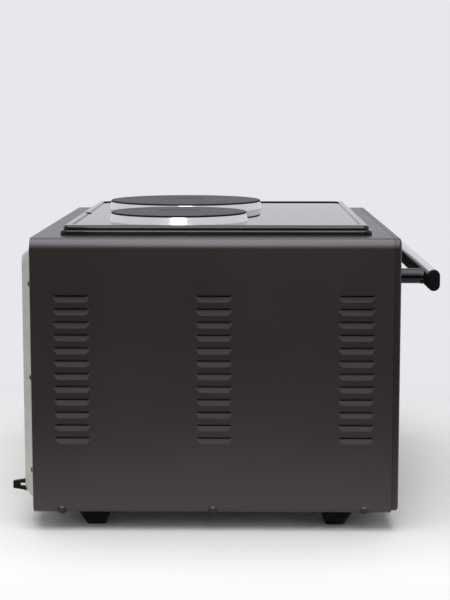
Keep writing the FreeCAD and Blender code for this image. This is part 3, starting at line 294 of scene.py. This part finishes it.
finish["hob_enamel"] = plain_enamel("hob_enamel", rgb(0.004, 0.004, 0.005), rgb(0.010, 0.010, 0.011))
finish["cavity_enamel"] = flecked_enamel(
    "cavity_enamel", rgb(0.055, 0.057, 0.062), rgb(0.085, 0.088, 0.094), rgb(0.42, 0.43, 0.45), blur=0.18)
finish["tray_enamel"] = flecked_enamel(
    "tray_enamel", rgb(0.008, 0.009, 0.013), rgb(0.014, 0.015, 0.020), rgb(0.10, 0.11, 0.14), blur=0.12)
print("enamels made, with flecks inside X", left_wall)

# %% [markdown]
# A hotplate is an iron casting whose top is faced on a lathe, so its grooves are circles round its own middle. The
# distance from that middle drives a sine for the grooves and a noise for uneven streaks. The grooves spread light
# across them, which gives the bright bow tie that turns with the viewer. The edge below the top is coloured nearly
# black, matt and not metallic, while the shallow dimple in the middle keeps the finish of the top. Each plate needs its
# own middle, and so do the polished spill rings, whose hairlines also run round.

# %% Cast iron and polished rings, each round its own middle
def middle_of(node):
    low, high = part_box(node)
    return (low + high) / 2


def from_middle(flow, middle):
    """Distance from an upright axis through a middle."""
    flat = spot(flow, (-middle.x, -middle.y, 0), (1, 1, 0))
    return flow.node("ShaderNodeVectorMath", {"operation": "LENGTH"}, {0: flat}, out=1)


soft_edge, groove_pitch = 0.0003, 0.0011
dimple_edge, outer_face = 0.04, 0.05  # distances from the middle between which the dimple ends
# Colour of each plate's edge below its top: nearly black.
edge_black = rgb(0.002, 0.002, 0.002)


def faced_iron(name, middle, top):
    made, flow = start_finish(name, specular=0.15)
    reach = from_middle(flow, middle)
    below_top = 1 - axis_value(flow, spot(flow), "Z").fade(top - soft_edge, top)
    faced = 1 - below_top * reach.fade(dimple_edge, outer_face)
    groove = ripple(reach, groove_pitch)
    streak = flow.node("ShaderNodeTexNoise", {"noise_dimensions": "1D"}, {"W": reach, "Scale": 900.0, "Detail": 3.0})
    grit = cloud(flow, 1500, 3.0)
    oiled = cloud(flow, 26, 3.0)
    return feed(
        made,
        colour=(faced * (0.4 + 0.24 * streak + 0.36 * oiled)).tint(edge_black, rgb(0.074, 0.067, 0.078)),
        metallic=faced * 0.35,
        roughness=0.80 - faced * (0.36 - 0.10 * streak - 0.08 * oiled),
        normal=relief(groove + streak + 0.5 * grit, 0.00007),
    )


def turned_steel(name, middle):
    made, flow = start_finish(name, metallic=1.0)
    reach = from_middle(flow, middle)
    level = axis_value(flow, spot(flow), "Z")
    hairline = flow.node("ShaderNodeTexNoise", {"noise_dimensions": "1D"}, {"W": reach + level, "Scale": 5200.0})
    hazed = cloud(flow, 34, 3.0)
    return feed(
        made,
        colour=hazed.tint(rgb(0.66, 0.65, 0.64), rgb(0.78, 0.77, 0.755)),
        roughness=0.09 + 0.07 * hairline + 0.06 * hazed,
        normal=relief(hairline, 0.000006),
    )


own_finish = {}  # finishes of single pieces, in place of their slot's
for size in ("small", "large"):
    plate = size + "_hotplate"
    own_finish[plate] = faced_iron(size + "_plate_iron", middle_of(plate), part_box(plate)[1].z)
    own_finish[plate + "_ring"] = turned_steel(size + "_ring_steel", middle_of(plate))
    print(plate, "turns round", tuple(round(v, 4) for v in middle_of(plate)))

# %% [markdown]
# The handle bar is brushed along its length, so its noise is stretched a hundred times along X. Its back is black up to
# just below its top edge, and a mask in Y and Z keeps the steel off that strip. This black is painted shade: it stands
# in for the shaded underside of the bar and for the dark door mirrored in its back. Its posts are polished and darkly
# plated, and their turning marks are fine rings along Y. The wire rack is bright chrome with a straw tint from the
# heat, and the heating rods are steel that has been red hot: grey, brown and blue by turns.

# %% Bare and plated metals
# Size of the painted shade on the bar: a black strip along its back, standing in for shade and the mirrored dark door.
shade_strip_depth, shade_strip_rise = 0.0016, 0.0060  # of the black strip, from the bar's back and above its middle


def brushed_steel_with_painted_shade():
    made, flow = start_finish("handle_steel", specular=0.1)
    hair = cloud(flow, 2600, 3.0, (0.01, 1, 1))
    touch = cloud(flow, 35, 3.0)
    here = spot(flow)
    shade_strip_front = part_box("handle_bar")[1].y - shade_strip_depth
    shade_strip_top = middle_of("handle_bar").z + shade_strip_rise
    # Painted shade: this mask turns the bar's back black below its top edge, where shade falls and the dark door is
    # mirrored.
    behind = axis_value(flow, here, "Y").fade(shade_strip_front, shade_strip_front + soft_edge)
    shade_strip = behind * (1 - axis_value(flow, here, "Z").fade(shade_strip_top, shade_strip_top + soft_edge))
    steel = (hair * 0.6 + touch * 0.4).tint(rgb(0.56, 0.56, 0.55), rgb(0.74, 0.73, 0.72))
    return feed(
        made,
        colour=shade_strip.tint(steel, rgb(0.006, 0.0056, 0.006)),
        metallic=1 - shade_strip,
        roughness=0.12 + 0.10 * hair + 0.04 * touch + 0.5 * shade_strip,
        normal=relief(hair, 0.00001),
    )


def dark_plating():
    made, flow = start_finish("post_plating", metallic=1.0)
    rings = cloud(flow, 2400, 2.0, (0.02, 1, 0.02))
    touch = cloud(flow, 60, 3.0)
    return feed(
        made,
        colour=touch.tint(rgb(0.022, 0.0205, 0.024), rgb(0.038, 0.036, 0.042)),
        roughness=0.13 + 0.08 * rings + 0.05 * touch,
        normal=relief(rings, 0.000006),
    )


def heat_tinted(name, cold, warm, blue, metal, blur):
    made, flow = start_finish(name, metallic=metal)
    patch = cloud(flow, 24, 3.0)
    brown = patch.fade(0.40, 0.58).tint(cold, warm)
    tinted = cloud(flow, 17, 2.0, (1, 1.3, 1)).fade(0.52, 0.66)
    return feed(
        made,
        colour=(tinted * 0.7).tint(brown, blue),
        roughness=blur + 0.16 * cloud(flow, 700, 2.0),
        normal=relief(cloud(flow, 1300, 3.0), 0.00002),
    )


finish["handle_steel"] = brushed_steel_with_painted_shade()
own_finish["handle_standoffs"] = dark_plating()
finish["rack_chrome"] = heat_tinted(
    "rack_chrome", rgb(0.78, 0.78, 0.80), rgb(0.74, 0.70, 0.62), rgb(0.66, 0.67, 0.74), metal=1.0, blur=0.06)
finish["heater_sheath"] = heat_tinted(
    "heater_sheath", rgb(0.17, 0.165, 0.16), rgb(0.20, 0.14, 0.10), rgb(0.10, 0.11, 0.15), metal=0.8, blur=0.38)
print("finishes of single pieces:", list(own_finish))

# %% [markdown]
# Knobs, end caps, spacers and feet are moulded. A mould is spark-eroded so that the plastic comes out with a fine matt
# grain, and rubber is duller still and picks up dust near the table. The ceramic bushes are unglazed and porous, the
# silicone seal is smooth, and the wiring sleeve is woven glass: two crossing sines make its weave.

# %% Moulded, fired and woven materials
dust_low, dust_high = 0.001, 0.016
thread_pitch = 0.0016


def moulded(name, low, high, blur, grain_depth, dusty=0.0):
    made, flow = start_finish(name, specular=0.15)
    grain = cloud(flow, 1900, 2.0)
    handled = cloud(flow, 45, 3.0)
    near_table = 1 - axis_value(flow, spot(flow), "Z").fade(dust_low, dust_high)
    tone = (handled * 0.7 + grain * 0.3).tint(low, high)
    dust = near_table * cloud(flow, 300, 4.0).fade(0.4, 0.8) * dusty
    return feed(
        made,
        colour=dust.tint(tone, rgb(0.16, 0.15, 0.14)),
        roughness=blur + 0.12 * handled + 0.08 * grain,
        normal=relief(grain, grain_depth),
    )


def woven_sleeve():
    made, flow = start_finish("wire_sleeve", specular=0.3)
    here = spot(flow)
    along = axis_value(flow, here, "Z") + axis_value(flow, here, "Y")
    across = axis_value(flow, here, "X")
    weave = ripple(along + across, thread_pitch) * ripple(along - across, thread_pitch)
    return feed(
        made,
        colour=(weave * 0.5 + 0.5).tint(rgb(0.20, 0.185, 0.15), rgb(0.38, 0.35, 0.29)),
        roughness=0.7 + 0.15 * cloud(flow, 500, 2.0),
        normal=relief(weave, 0.00012),
    )


finish["black_plastic"] = moulded(
    "black_plastic", rgb(0.0016, 0.0014, 0.0016), rgb(0.0040, 0.0035, 0.0038), blur=0.36, grain_depth=0.000018)
finish["knob_plastic"] = moulded(
    "knob_plastic", rgb(0.006, 0.006, 0.0065), rgb(0.012, 0.012, 0.0125), blur=0.30, grain_depth=0.000014)
finish["foot_rubber"] = moulded(
    "foot_rubber", rgb(0.0020, 0.0018, 0.0021), rgb(0.0040, 0.0037, 0.0041), blur=0.6, grain_depth=0.00003, dusty=0.25)
finish["seal_rubber"] = moulded(
    "seal_rubber", rgb(0.07, 0.07, 0.073), rgb(0.11, 0.11, 0.112), blur=0.5, grain_depth=0.00001)
finish["bush_ceramic"] = moulded(
    "bush_ceramic", rgb(0.60, 0.57, 0.50), rgb(0.76, 0.74, 0.68), blur=0.55, grain_depth=0.00004)
finish["wire_sleeve"] = woven_sleeve()
print("moulded finishes made, with dust up to", dust_high, "m")

# %% [markdown]
# The door has two panes of lightly smoked glass. Real refraction through both would leave the lining in the dark, so
# the panes are a thin dark gloss film with partial Alpha: what is behind stays visible, and fingerprints change both
# the gloss and the Alpha. The lamp lenses are red and clear-coated, moulded with small prisms that break up the light.

# %% Window glass and lamp lenses
prism_pitch = 0.0012


def smoked_glass():
    made, flow = start_finish("window_glass", specular=0.7)
    prints = cloud(flow, 38, 4.0, (1, 1, 0.6)).fade(0.5, 0.78)
    streaks = cloud(flow, 90, 2.0, (0.12, 1, 1)).fade(0.5, 0.8)
    return feed(
        made,
        colour=prints.tint(rgb(0.010, 0.0105, 0.011), rgb(0.035, 0.035, 0.035)),
        roughness=0.03 + 0.10 * prints + 0.05 * streaks,
        alpha=0.24 + 0.07 * prints + 0.04 * streaks,
    )


def prism_lens():
    made, flow = start_finish("lamp_lens", specular=0.6, coat=0.8, coat_roughness=0.06)
    here = spot(flow)
    prisms = ripple(axis_value(flow, here, "X"), prism_pitch) * ripple(axis_value(flow, here, "Z"), prism_pitch)
    return feed(
        made,
        colour=(prisms * 0.5 + 0.5).tint(rgb(0.20, 0.006, 0.005), rgb(0.52, 0.03, 0.02)),
        roughness=0.16 + 0.08 * cloud(flow, 600, 2.0),
        normal=relief(prisms, 0.00012),
    )


finish["window_glass"] = smoked_glass()
finish["lamp_lens"] = prism_lens()
print("glass made, and lenses with prisms of", prism_pitch, "m")

# %% [markdown]
# Each solid says in the record which finish it takes. Its mesh stays untouched: only the material in its slots changes.
# The hotplates, their rings and the handle posts have finishes of their own.

# %% Put the finishes on the solids
for subpart in frame["record"]["subparts"]:
    name = subpart["node"]
    made = own_finish.get(name) or finish[subpart["material_slot"]]
    solid = nodes[name]
    if not solid.material_slots:
        solid.data.materials.append(made)
    for held in solid.material_slots:
        held.material = made

# %% [markdown]
# What repeats on the oven could be copied by a Python loop, but Geometry Nodes keep the sizes as named inputs. A tree
# runs as a modifier on a host mesh. It ends in Realize Instances, because an export leaves instances out, and its
# result is copied to a plain mesh. These helpers start, end and run a tree, and join the meshes of one piece, which
# then rides on a body of the oven.

# %% Helpers for geometry trees
def start_tree(name, inputs):
    """New tree with named inputs. Gives a flow, the inputs as flows and their identifiers."""
    tree = bpy.data.node_groups.new(name, "GeometryNodeTree")
    tree.interface.new_socket("Geometry", in_out="INPUT", socket_type="NodeSocketGeometry")
    known = {}
    for word, kind in inputs.items():
        known[word] = tree.interface.new_socket(word, in_out="INPUT", socket_type="NodeSocket" + kind).identifier
    tree.interface.new_socket("Geometry", in_out="OUTPUT", socket_type="NodeSocketGeometry")
    entry = tree.nodes.new("NodeGroupInput")
    flows = {word: Flow(tree, entry.outputs[word]) for word in ("Geometry", *inputs)}
    return Flow(tree), flows, known


def end_tree(flow, geometry, material):
    """Realize Instances, Set Material and the output."""
    real = flow.node("GeometryNodeRealizeInstances", {}, {0: geometry})
    coated = flow.node("GeometryNodeSetMaterial", {}, {"Geometry": real, "Material": material})
    last = flow.tree.nodes.new("NodeGroupOutput")
    flow.tree.links.new(coated.socket, last.inputs[0])


def grow(host, tree, known, **values):
    """Runs a tree on a host mesh and gives the result as a plain mesh."""
    holder = bpy.data.objects.new("holder", host)
    bpy.context.scene.collection.objects.link(holder)
    modifier = holder.modifiers.new("tree", "NODES")
    modifier.node_group = tree
    for word, value in values.items():
        modifier[known[word.replace("_", " ")]] = value
    seen = holder.evaluated_get(bpy.context.evaluated_depsgraph_get())
    mesh = bpy.data.meshes.new_from_object(seen)
    bpy.data.objects.remove(holder)
    return mesh


def show(name, meshes, body, stands_for=()):
    """One piece from several meshes, riding on a body."""
    joined = bmesh.new()
    for mesh in meshes:
        joined.from_mesh(mesh)
    for face in joined.faces:
        face.material_index = 0
    whole = bpy.data.meshes.new(name)
    joined.to_mesh(whole)
    joined.free()
    whole.materials.append([held for held in meshes[0].materials if held][0])
    piece = bpy.data.objects.new(name, whole)
    bpy.context.scene.collection.objects.link(piece)
    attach(piece, body)
    if stands_for:
        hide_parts(*stands_for)
    print(name, "rides on", body, "with", len(whole.polygons), "faces")


print("helpers for trees made")

# %% [markdown]
# One tree makes all the screws. It builds one domed head: a flattened ball, cut level at its seat, with two crossed
# bars cut out for the driver, and a plain shank. It sets one screw on every point of a host mesh, turned to the
# direction stored on that point and then spun by a seeded random angle, because no two screws stop at the same angle.

# %% The screw tree
def vector(flow, x, y, z):
    return flow.node("ShaderNodeCombineXYZ", {}, {0: x, 1: y, 2: z})


def block(flow, size, middle):
    cube = flow.node("GeometryNodeMeshCube", {}, {"Size": size})
    return flow.node("GeometryNodeTransform", {}, {"Geometry": cube, "Translation": middle})


screw, given, screw_inputs = start_tree("cross_head_screws", {
    "Head radius": "Float", "Head height": "Float", "Shank radius": "Float", "Shank length": "Float",
    "Seed": "Int", "Finish": "Material"})
dome_radius, dome_height = given["Head radius"], given["Head height"]
dome_size = vector(screw, dome_radius, dome_radius, dome_height)
ball = screw.node("GeometryNodeMeshUVSphere", {}, {"Segments": 28, "Rings": 14, "Radius": 1.0})
dome = screw.node("GeometryNodeTransform", {}, {"Geometry": ball, "Scale": dome_size})
wide = dome_radius * 2.4
below_seat = block(screw, vector(screw, wide, wide, wide), vector(screw, 0.0, 0.0, wide * -0.5))
arm, slim, deep = dome_radius * 1.15, dome_radius * 0.24, dome_height * 1.1
dome_top = vector(screw, 0.0, 0.0, dome_height)
driver_slots = [
    block(screw, vector(screw, arm, slim, deep), dome_top),
    block(screw, vector(screw, slim, arm, deep), dome_top),
]
cutters = screw.node("GeometryNodeJoinGeometry", {}, {0: [below_seat] + driver_slots})
head = screw.node("GeometryNodeMeshBoolean", {"operation": "DIFFERENCE"}, {0: dome, 1: cutters})
stem = screw.node("GeometryNodeMeshCylinder", {}, {
    "Vertices": 16, "Radius": given["Shank radius"], "Depth": given["Shank length"]})
sunk = screw.node("GeometryNodeTransform", {}, {
    "Geometry": stem, "Translation": vector(screw, 0.0, 0.0, given["Shank length"] * -0.5)})
single = screw.node("GeometryNodeJoinGeometry", {}, {0: [head, sunk]})
facing = screw.node("GeometryNodeInputNamedAttribute", {"data_type": "FLOAT_VECTOR"}, {"Name": "facing"})
upright = screw.node("FunctionNodeAlignRotationToVector", {"axis": "Z"}, {"Vector": facing})
most_spin = 3.1
spin = screw.node("FunctionNodeRandomValue", {"data_type": "FLOAT"}, {
    2: 0.0, 3: most_spin, "Seed": given["Seed"]}, out=1)
twist = screw.node("FunctionNodeAxisAngleToRotation", {}, {"Axis": (0.0, 0.0, 1.0), "Angle": spin})
turned = screw.node("FunctionNodeRotateRotation", {"rotation_space": "LOCAL"}, {0: upright, 1: twist})
placed = screw.node("GeometryNodeInstanceOnPoints", {}, {
    "Points": given["Geometry"], "Instance": single, "Rotation": turned})
end_tree(screw, placed, given["Finish"])
print("screw tree has", len(screw.tree.nodes), "nodes")

# %% [markdown]
# The host of the tree is a mesh of bare points. A vector attribute called facing says where each head points. Six
# screws sit in the rounded lower bends of the casing and point down and out, nine hold the back panel, and four hold
# the feet from below.

# %% Screws in the casing, the back panel and the feet
def points_facing(places):
    """Mesh of points, each with the direction its screw faces."""
    host = bpy.data.meshes.new("screw_points")
    host.from_pydata([place for place, direction in places], [], [])
    stored = host.attributes.new("facing", "FLOAT_VECTOR", "POINT")
    for number, (place, direction) in enumerate(places):
        stored.data[number].vector = direction
    return host


# columns run along X, depths along Y and heights along Z, as in the solids
half_width, casing_bottom, bend_radius = 0.235, 0.019, 0.008
casing_depths = (-0.14185, 0.01185, 0.16555)
back_face, back_column, back_heights = 0.19505, 0.229, (0.063, 0.158, 0.253)
back_top, back_top_columns = 0.293, (-0.15667, 0, 0.15667)
foot_seat, foot_column, foot_depths = 0.0095, 0.197, (-0.11525, 0.13475)
head_height, shank_radius, first_seed = 0.002, 0.0019, 3

slant = math.sqrt(0.5)
casing_places = []
for side in (-1, 1):
    out = Vector((side * slant, 0, -slant))
    for depth in casing_depths:
        bend_middle = Vector((side * (half_width - bend_radius), depth, casing_bottom + bend_radius))
        casing_places.append((bend_middle + out * bend_radius, out))
back_places = [((side * back_column, back_face, z), (0, 1, 0)) for side in (-1, 1) for z in back_heights]
back_places += [((x, back_face, back_top), (0, 1, 0)) for x in back_top_columns]
foot_places = [((side * foot_column, y, foot_seat), (0, 0, -1)) for side in (-1, 1) for y in foot_depths]
screw_kinds = (  # name, places, head radius, shank length, slot, node that it stands for
    ("casing_screw_heads", casing_places, 0.0048, 0.0060, "painted_screws", "casing_screws"),
    ("back_screw_heads", back_places, 0.0030, 0.0036, "painted_screws", "back_panel_screws"),
    ("foot_screw_heads", foot_places, 0.0048, 0.0131, "zinc_steel", "foot_screws"),
)
for number, (name, places, head_radius, length, slot, node) in enumerate(screw_kinds):
    mesh = grow(points_facing(places), screw.tree, screw_inputs, Head_radius=head_radius, Head_height=head_height,
                Shank_radius=shank_radius, Shank_length=length, Seed=number + first_seed, Finish=finish[slot])
    show(name, [mesh], "oven", [node])

# %% [markdown]
# Dials are marks round a circle, and so are the ribs of a knob. A second tree lays bars on an arc: the number of each
# point gives its angle, sine and cosine give its place, and the same angle turns the bar. The first bar is at the top,
# where the knobs point when everything is off, and the angle runs clockwise for the cook.

# %% The tree that lays bars on an arc
arc, wanted, arc_inputs = start_tree("bars_on_an_arc", {
    "Bars": "Int", "Step": "Float", "Radius": "Float", "Size": "Vector", "Middle": "Vector", "Finish": "Material"})
angle = arc.node("GeometryNodeInputIndex") * wanted["Step"]
across, upwards = arc.maths("SINE", angle), arc.maths("COSINE", angle)
on_circle = vector(arc, across * wanted["Radius"], 0.0, upwards * wanted["Radius"])
moved = arc.node("ShaderNodeVectorMath", {"operation": "ADD"}, {0: on_circle, 1: wanted["Middle"]})
row = arc.node("GeometryNodePoints", {}, {"Count": wanted["Bars"], "Position": moved})
bar = arc.node("GeometryNodeMeshCube", {}, {"Size": wanted["Size"]})
lean = arc.node("FunctionNodeAxisAngleToRotation", {}, {"Axis": (0.0, 1.0, 0.0), "Angle": angle})
laid = arc.node("GeometryNodeInstanceOnPoints", {}, {"Points": row, "Instance": bar, "Rotation": lean})
end_tree(arc, laid, wanted["Finish"])
print("arc tree has", len(arc.tree.nodes), "nodes")


def bars(count, step, radius, size, middle, material):
    host = bpy.data.meshes.new("arc_host")
    return grow(host, arc.tree, arc_inputs, Bars=count, Step=math.radians(step), Radius=radius, Size=size,
                Middle=middle, Finish=material)


# %% [markdown]
# The scales are screen-printed in off-white ink. A print is a few hundredths of a millimetre thick, so the bars and the
# figures are real, very thin meshes on the panel. The timer runs to 60 minutes over 300 degrees, the thermostat to 250
# degrees Celsius over 270, and the three switches click every 90 degrees. The middle of each scale is the joint that
# its knob turns on, so it is read from the record.

# %% Ink and dial marks
def screen_ink():
    made, flow = start_finish("dial_ink", specular=0.3)
    worn = cloud(flow, 900, 3.0)
    return feed(
        made,
        colour=worn.tint(rgb(0.58, 0.58, 0.56), rgb(0.78, 0.78, 0.76)),
        roughness=0.45 + 0.2 * worn,
        normal=relief(worn, 0.00001),
    )


ink = screen_ink()
ink_depth = 0.00006
print_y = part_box("control_panel")[0].y - ink_depth / 2
mark_radius, mark_size = 0.0193, (0.0006, ink_depth, 0.0012)
small_mark_radius, small_mark_size = 0.0190, (0.0003, ink_depth, 0.0007)
dials = {  # angle from figure to figure, figures, small steps between two figures
    "timer": (50, ["0", "10", "20", "30", "40", "50", "60"], 5),
    "thermostat": (54, ["0", "50", "100", "150", "200", "250"], 2),
    "function_switch": (90, ["0", "", "", ""], 1),
    "large_hotplate_switch": (90, ["0", "1", "2", "3"], 1),
    "small_hotplate_switch": (90, ["0", "1", "2", "3"], 1),
}
joints = {joint["name"]: joint for joint in frame["record"]["behaviour"]["joints"]}
dial_axis = {name: Vector(joints[name + "_turn"]["pos_m"]) for name in dials}
marks = []
for name, (step, figures, parts) in dials.items():
    middle = (dial_axis[name].x, print_y, dial_axis[name].z)
    marks.append(bars(len(figures), step, mark_radius, mark_size, middle, ink))
    if parts > 1:
        small_marks = (len(figures) - 1) * parts + 1
        marks.append(bars(small_marks, step / parts, small_mark_radius, small_mark_size, middle, ink))
show("dial_marks", marks, "oven")

# %% [markdown]
# Figures start as text objects. Each is turned into a mesh first and only then set in place, so that the finished piece
# sits at the origin like the solids do. The function switch has small signs of two bars in place of figures: heat from
# above, from below and from both.

# %% Dial figures and heat signs
def figure_mesh(words, size, material):
    text = bpy.data.curves.new("figures", "FONT")
    text.body = words
    text.size = size
    text.extrude = ink_depth / 2
    text.align_x = "CENTER"
    text.align_y = "CENTER"
    holder = bpy.data.objects.new("figures", text)
    bpy.context.scene.collection.objects.link(holder)
    mesh = bpy.data.meshes.new_from_object(holder.evaluated_get(bpy.context.evaluated_depsgraph_get()))
    bpy.data.objects.remove(holder)
    mesh.materials.clear()
    mesh.materials.append(material)
    return mesh


def plain_bar(size, middle, material):
    mesh = bpy.data.meshes.new("bar")
    solid = bmesh.new()
    bmesh.ops.create_cube(solid, size=1.0, matrix=Matrix.Translation(middle) @ Matrix.Diagonal((*size, 1)))
    solid.to_mesh(mesh)
    solid.free()
    mesh.materials.append(material)
    return mesh


figure_radius, figure_size = 0.0213, 0.0028
sign_size, sign_rise = (0.0026, ink_depth, 0.0004), 0.0007
heat_signs = {1: (1,), 2: (-1,), 3: (1, -1)}  # bars above and below the middle of the sign, for each setting
stand_up = Matrix.Rotation(math.pi / 2, 4, "X")
figures_made = []
for name, (step, figures, parts) in dials.items():
    for number, words in enumerate(figures):
        turn = math.radians(step * number)
        x = dial_axis[name].x + figure_radius * math.sin(turn)
        z = dial_axis[name].z + figure_radius * math.cos(turn)
        if words:
            mesh = figure_mesh(words, figure_size, ink)
            mesh.transform(Matrix.Translation((x, print_y, z)) @ stand_up)
            figures_made.append(mesh)
        else:
            for level in heat_signs[number]:
                figures_made.append(plain_bar(sign_size, (x, print_y, z + level * sign_rise), ink))
show("dial_figures", figures_made, "oven")

# %% [markdown]
# A knob needs a line to read its setting by, and ribs for a grip. The line is a thin inlay on the front of the grip and
# the ribs stand round the barrel. Both ride on the body that turns with the knob.

# %% Knob lines and ribs
line_size, line_rise = (0.0013, ink_depth, 0.0085), 0.0071
rib_count, rib_radius, rib_size, rib_from_panel = 36, 0.01385, (0.0009, 0.0085, 0.0007), 0.0085
for name, axis in dial_axis.items():
    grip_front, knob_back = (corner.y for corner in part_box(name + "_knob"))
    line = plain_bar(line_size, (axis.x, grip_front - ink_depth / 2, axis.z + line_rise), ink)
    show(name + "_line", [line], name + "_dial")
    rib_middle = (axis.x, knob_back - rib_from_panel, axis.z)
    ribs = bars(rib_count, 360 / rib_count, rib_radius, rib_size, rib_middle, finish["knob_plastic"])
    show(name + "_ribs", [ribs], name + "_dial")

# %% [markdown]
# The oven stands on a plain pale floor that fades out far from it, so that no horizon shows. Its Alpha falls with the
# distance from the middle.

# %% Floor
fade_start, fade_end, floor_radius = 0.36, 0.74, 1.8


def pale_floor():
    made, flow = start_finish("floor", specular=0.2)
    return feed(
        made,
        colour=cloud(flow, 5, 3.0).tint(rgb(0.78, 0.78, 0.775), rgb(0.81, 0.81, 0.805)),
        roughness=0.5 + 0.1 * cloud(flow, 60, 2.0),
        alpha=1 - from_middle(flow, Vector()).fade(fade_start, fade_end),
    )


floor_mesh = bpy.data.meshes.new("floor")
disc = bmesh.new()
bmesh.ops.create_circle(disc, cap_ends=True, segments=96, radius=floor_radius)
disc.to_mesh(floor_mesh)
disc.free()
floor_mesh.materials.append(pale_floor())
floor = bpy.data.objects.new("floor", floor_mesh)
bpy.context.scene.collection.objects.link(floor)
print("floor of", round(floor.dimensions.x, 2), "m")

# %% [markdown]
# The light is a broad soft lamp that hangs over the oven and over the camera. It makes the short dark shadow under the
# oven. A tall softbox above the camera draws the bright line along the upper bend. A pale room fills in the rest: pale
# to the camera from every side, pale in mirrors too, except behind the camera, where the room is dim. For matt surfaces
# it is dimmer, so that the lamps shape the oven and the dark paint keeps its colour.

# %% Light
def pale_room(pale, pale_behind, felt, felt_behind):
    """World with one look for mirrors and one for matt surfaces, each with its own tone behind the camera."""
    room = bpy.data.worlds.new("room")
    room.use_nodes = True
    flow = Flow(room.node_tree)
    heading = flow.node("ShaderNodeTexCoord", out="Generated")
    forward = axis_value(flow, heading, "X") + axis_value(flow, heading, "Z")
    mirror_image = forward.fade(-0.92, -0.55).tint(pale_behind, pale)
    fill = forward.fade(-0.5, 0.3).tint(felt_behind, felt)
    path = flow.node("ShaderNodeLightPath").socket.node
    rays = {output.name: Flow(room.node_tree, output) for output in path.outputs}
    mirrored = rays["Is Glossy Ray"] + rays["Is Transmission Ray"]
    shown = rays["Is Camera Ray"].tint(mirrored.fade(0.0, 1.0).tint(fill, mirror_image), pale)
    room.node_tree.links.new(shown.socket, room.node_tree.nodes["Background"].inputs["Color"])
    return room


def soft_lamp(name, place, target, width, length, power):
    """Rectangular lamp at a place, turned to its target."""
    data = bpy.data.lights.new(name, "AREA")
    data.shape = "RECTANGLE"
    data.size, data.size_y, data.energy = width, length, power
    lamp = bpy.data.objects.new(name, data)
    turn = (Vector(place) - Vector(target)).to_track_quat("Z", "Y").to_matrix().to_4x4()
    lamp.matrix_world = Matrix.Translation(place) @ turn
    bpy.context.scene.collection.objects.link(lamp)
    print(name, "lamp of", power, "W")


bpy.context.scene.world = pale_room(
    pale=rgb(0.80, 0.80, 0.84), pale_behind=rgb(0.10, 0.09, 0.075),
    felt=rgb(0.44, 0.44, 0.45), felt_behind=rgb(0.06, 0.06, 0.06))
soft_lamp("overhead", place=(-0.6, 0.05, 1.9), target=(-0.6, 0.05, 0.0), width=2.2, length=1.7, power=38)
soft_lamp("softbox", place=(-1.8, 0.0, 1.45), target=(-0.235, 0.0, 0.3), width=0.7, length=1.4, power=11)

# %% [markdown]
# The camera stands where the photograph was taken: to the left of the oven, a little above its top, square to its
# side. Its place and lens come from the straight edges of the casing in the picture.

# %% Camera
camera_place = (-1.6968, -0.01715, 0.4284)
focal_length, sensor_width = 88.84, 36.0  # in millimetres
lens = bpy.data.cameras.new("camera")
lens.lens = focal_length
lens.sensor_width = sensor_width
camera = bpy.data.objects.new("camera", lens)
bpy.context.scene.collection.objects.link(camera)
ahead = Vector((0.9915, 0.01137, -0.1293)).normalized()
right = Vector((0.01147, -0.99993, 0.0))
right = (right - ahead * right.dot(ahead)).normalized()
axes = Matrix((right, right.cross(ahead), -ahead)).transposed()
camera.matrix_world = Matrix.Translation(camera_place) @ axes.to_4x4()
bpy.context.scene.camera = camera
bpy.context.scene.view_settings.view_transform = "Standard"
print("camera at", tuple(round(v, 3) for v in camera.matrix_world.translation))
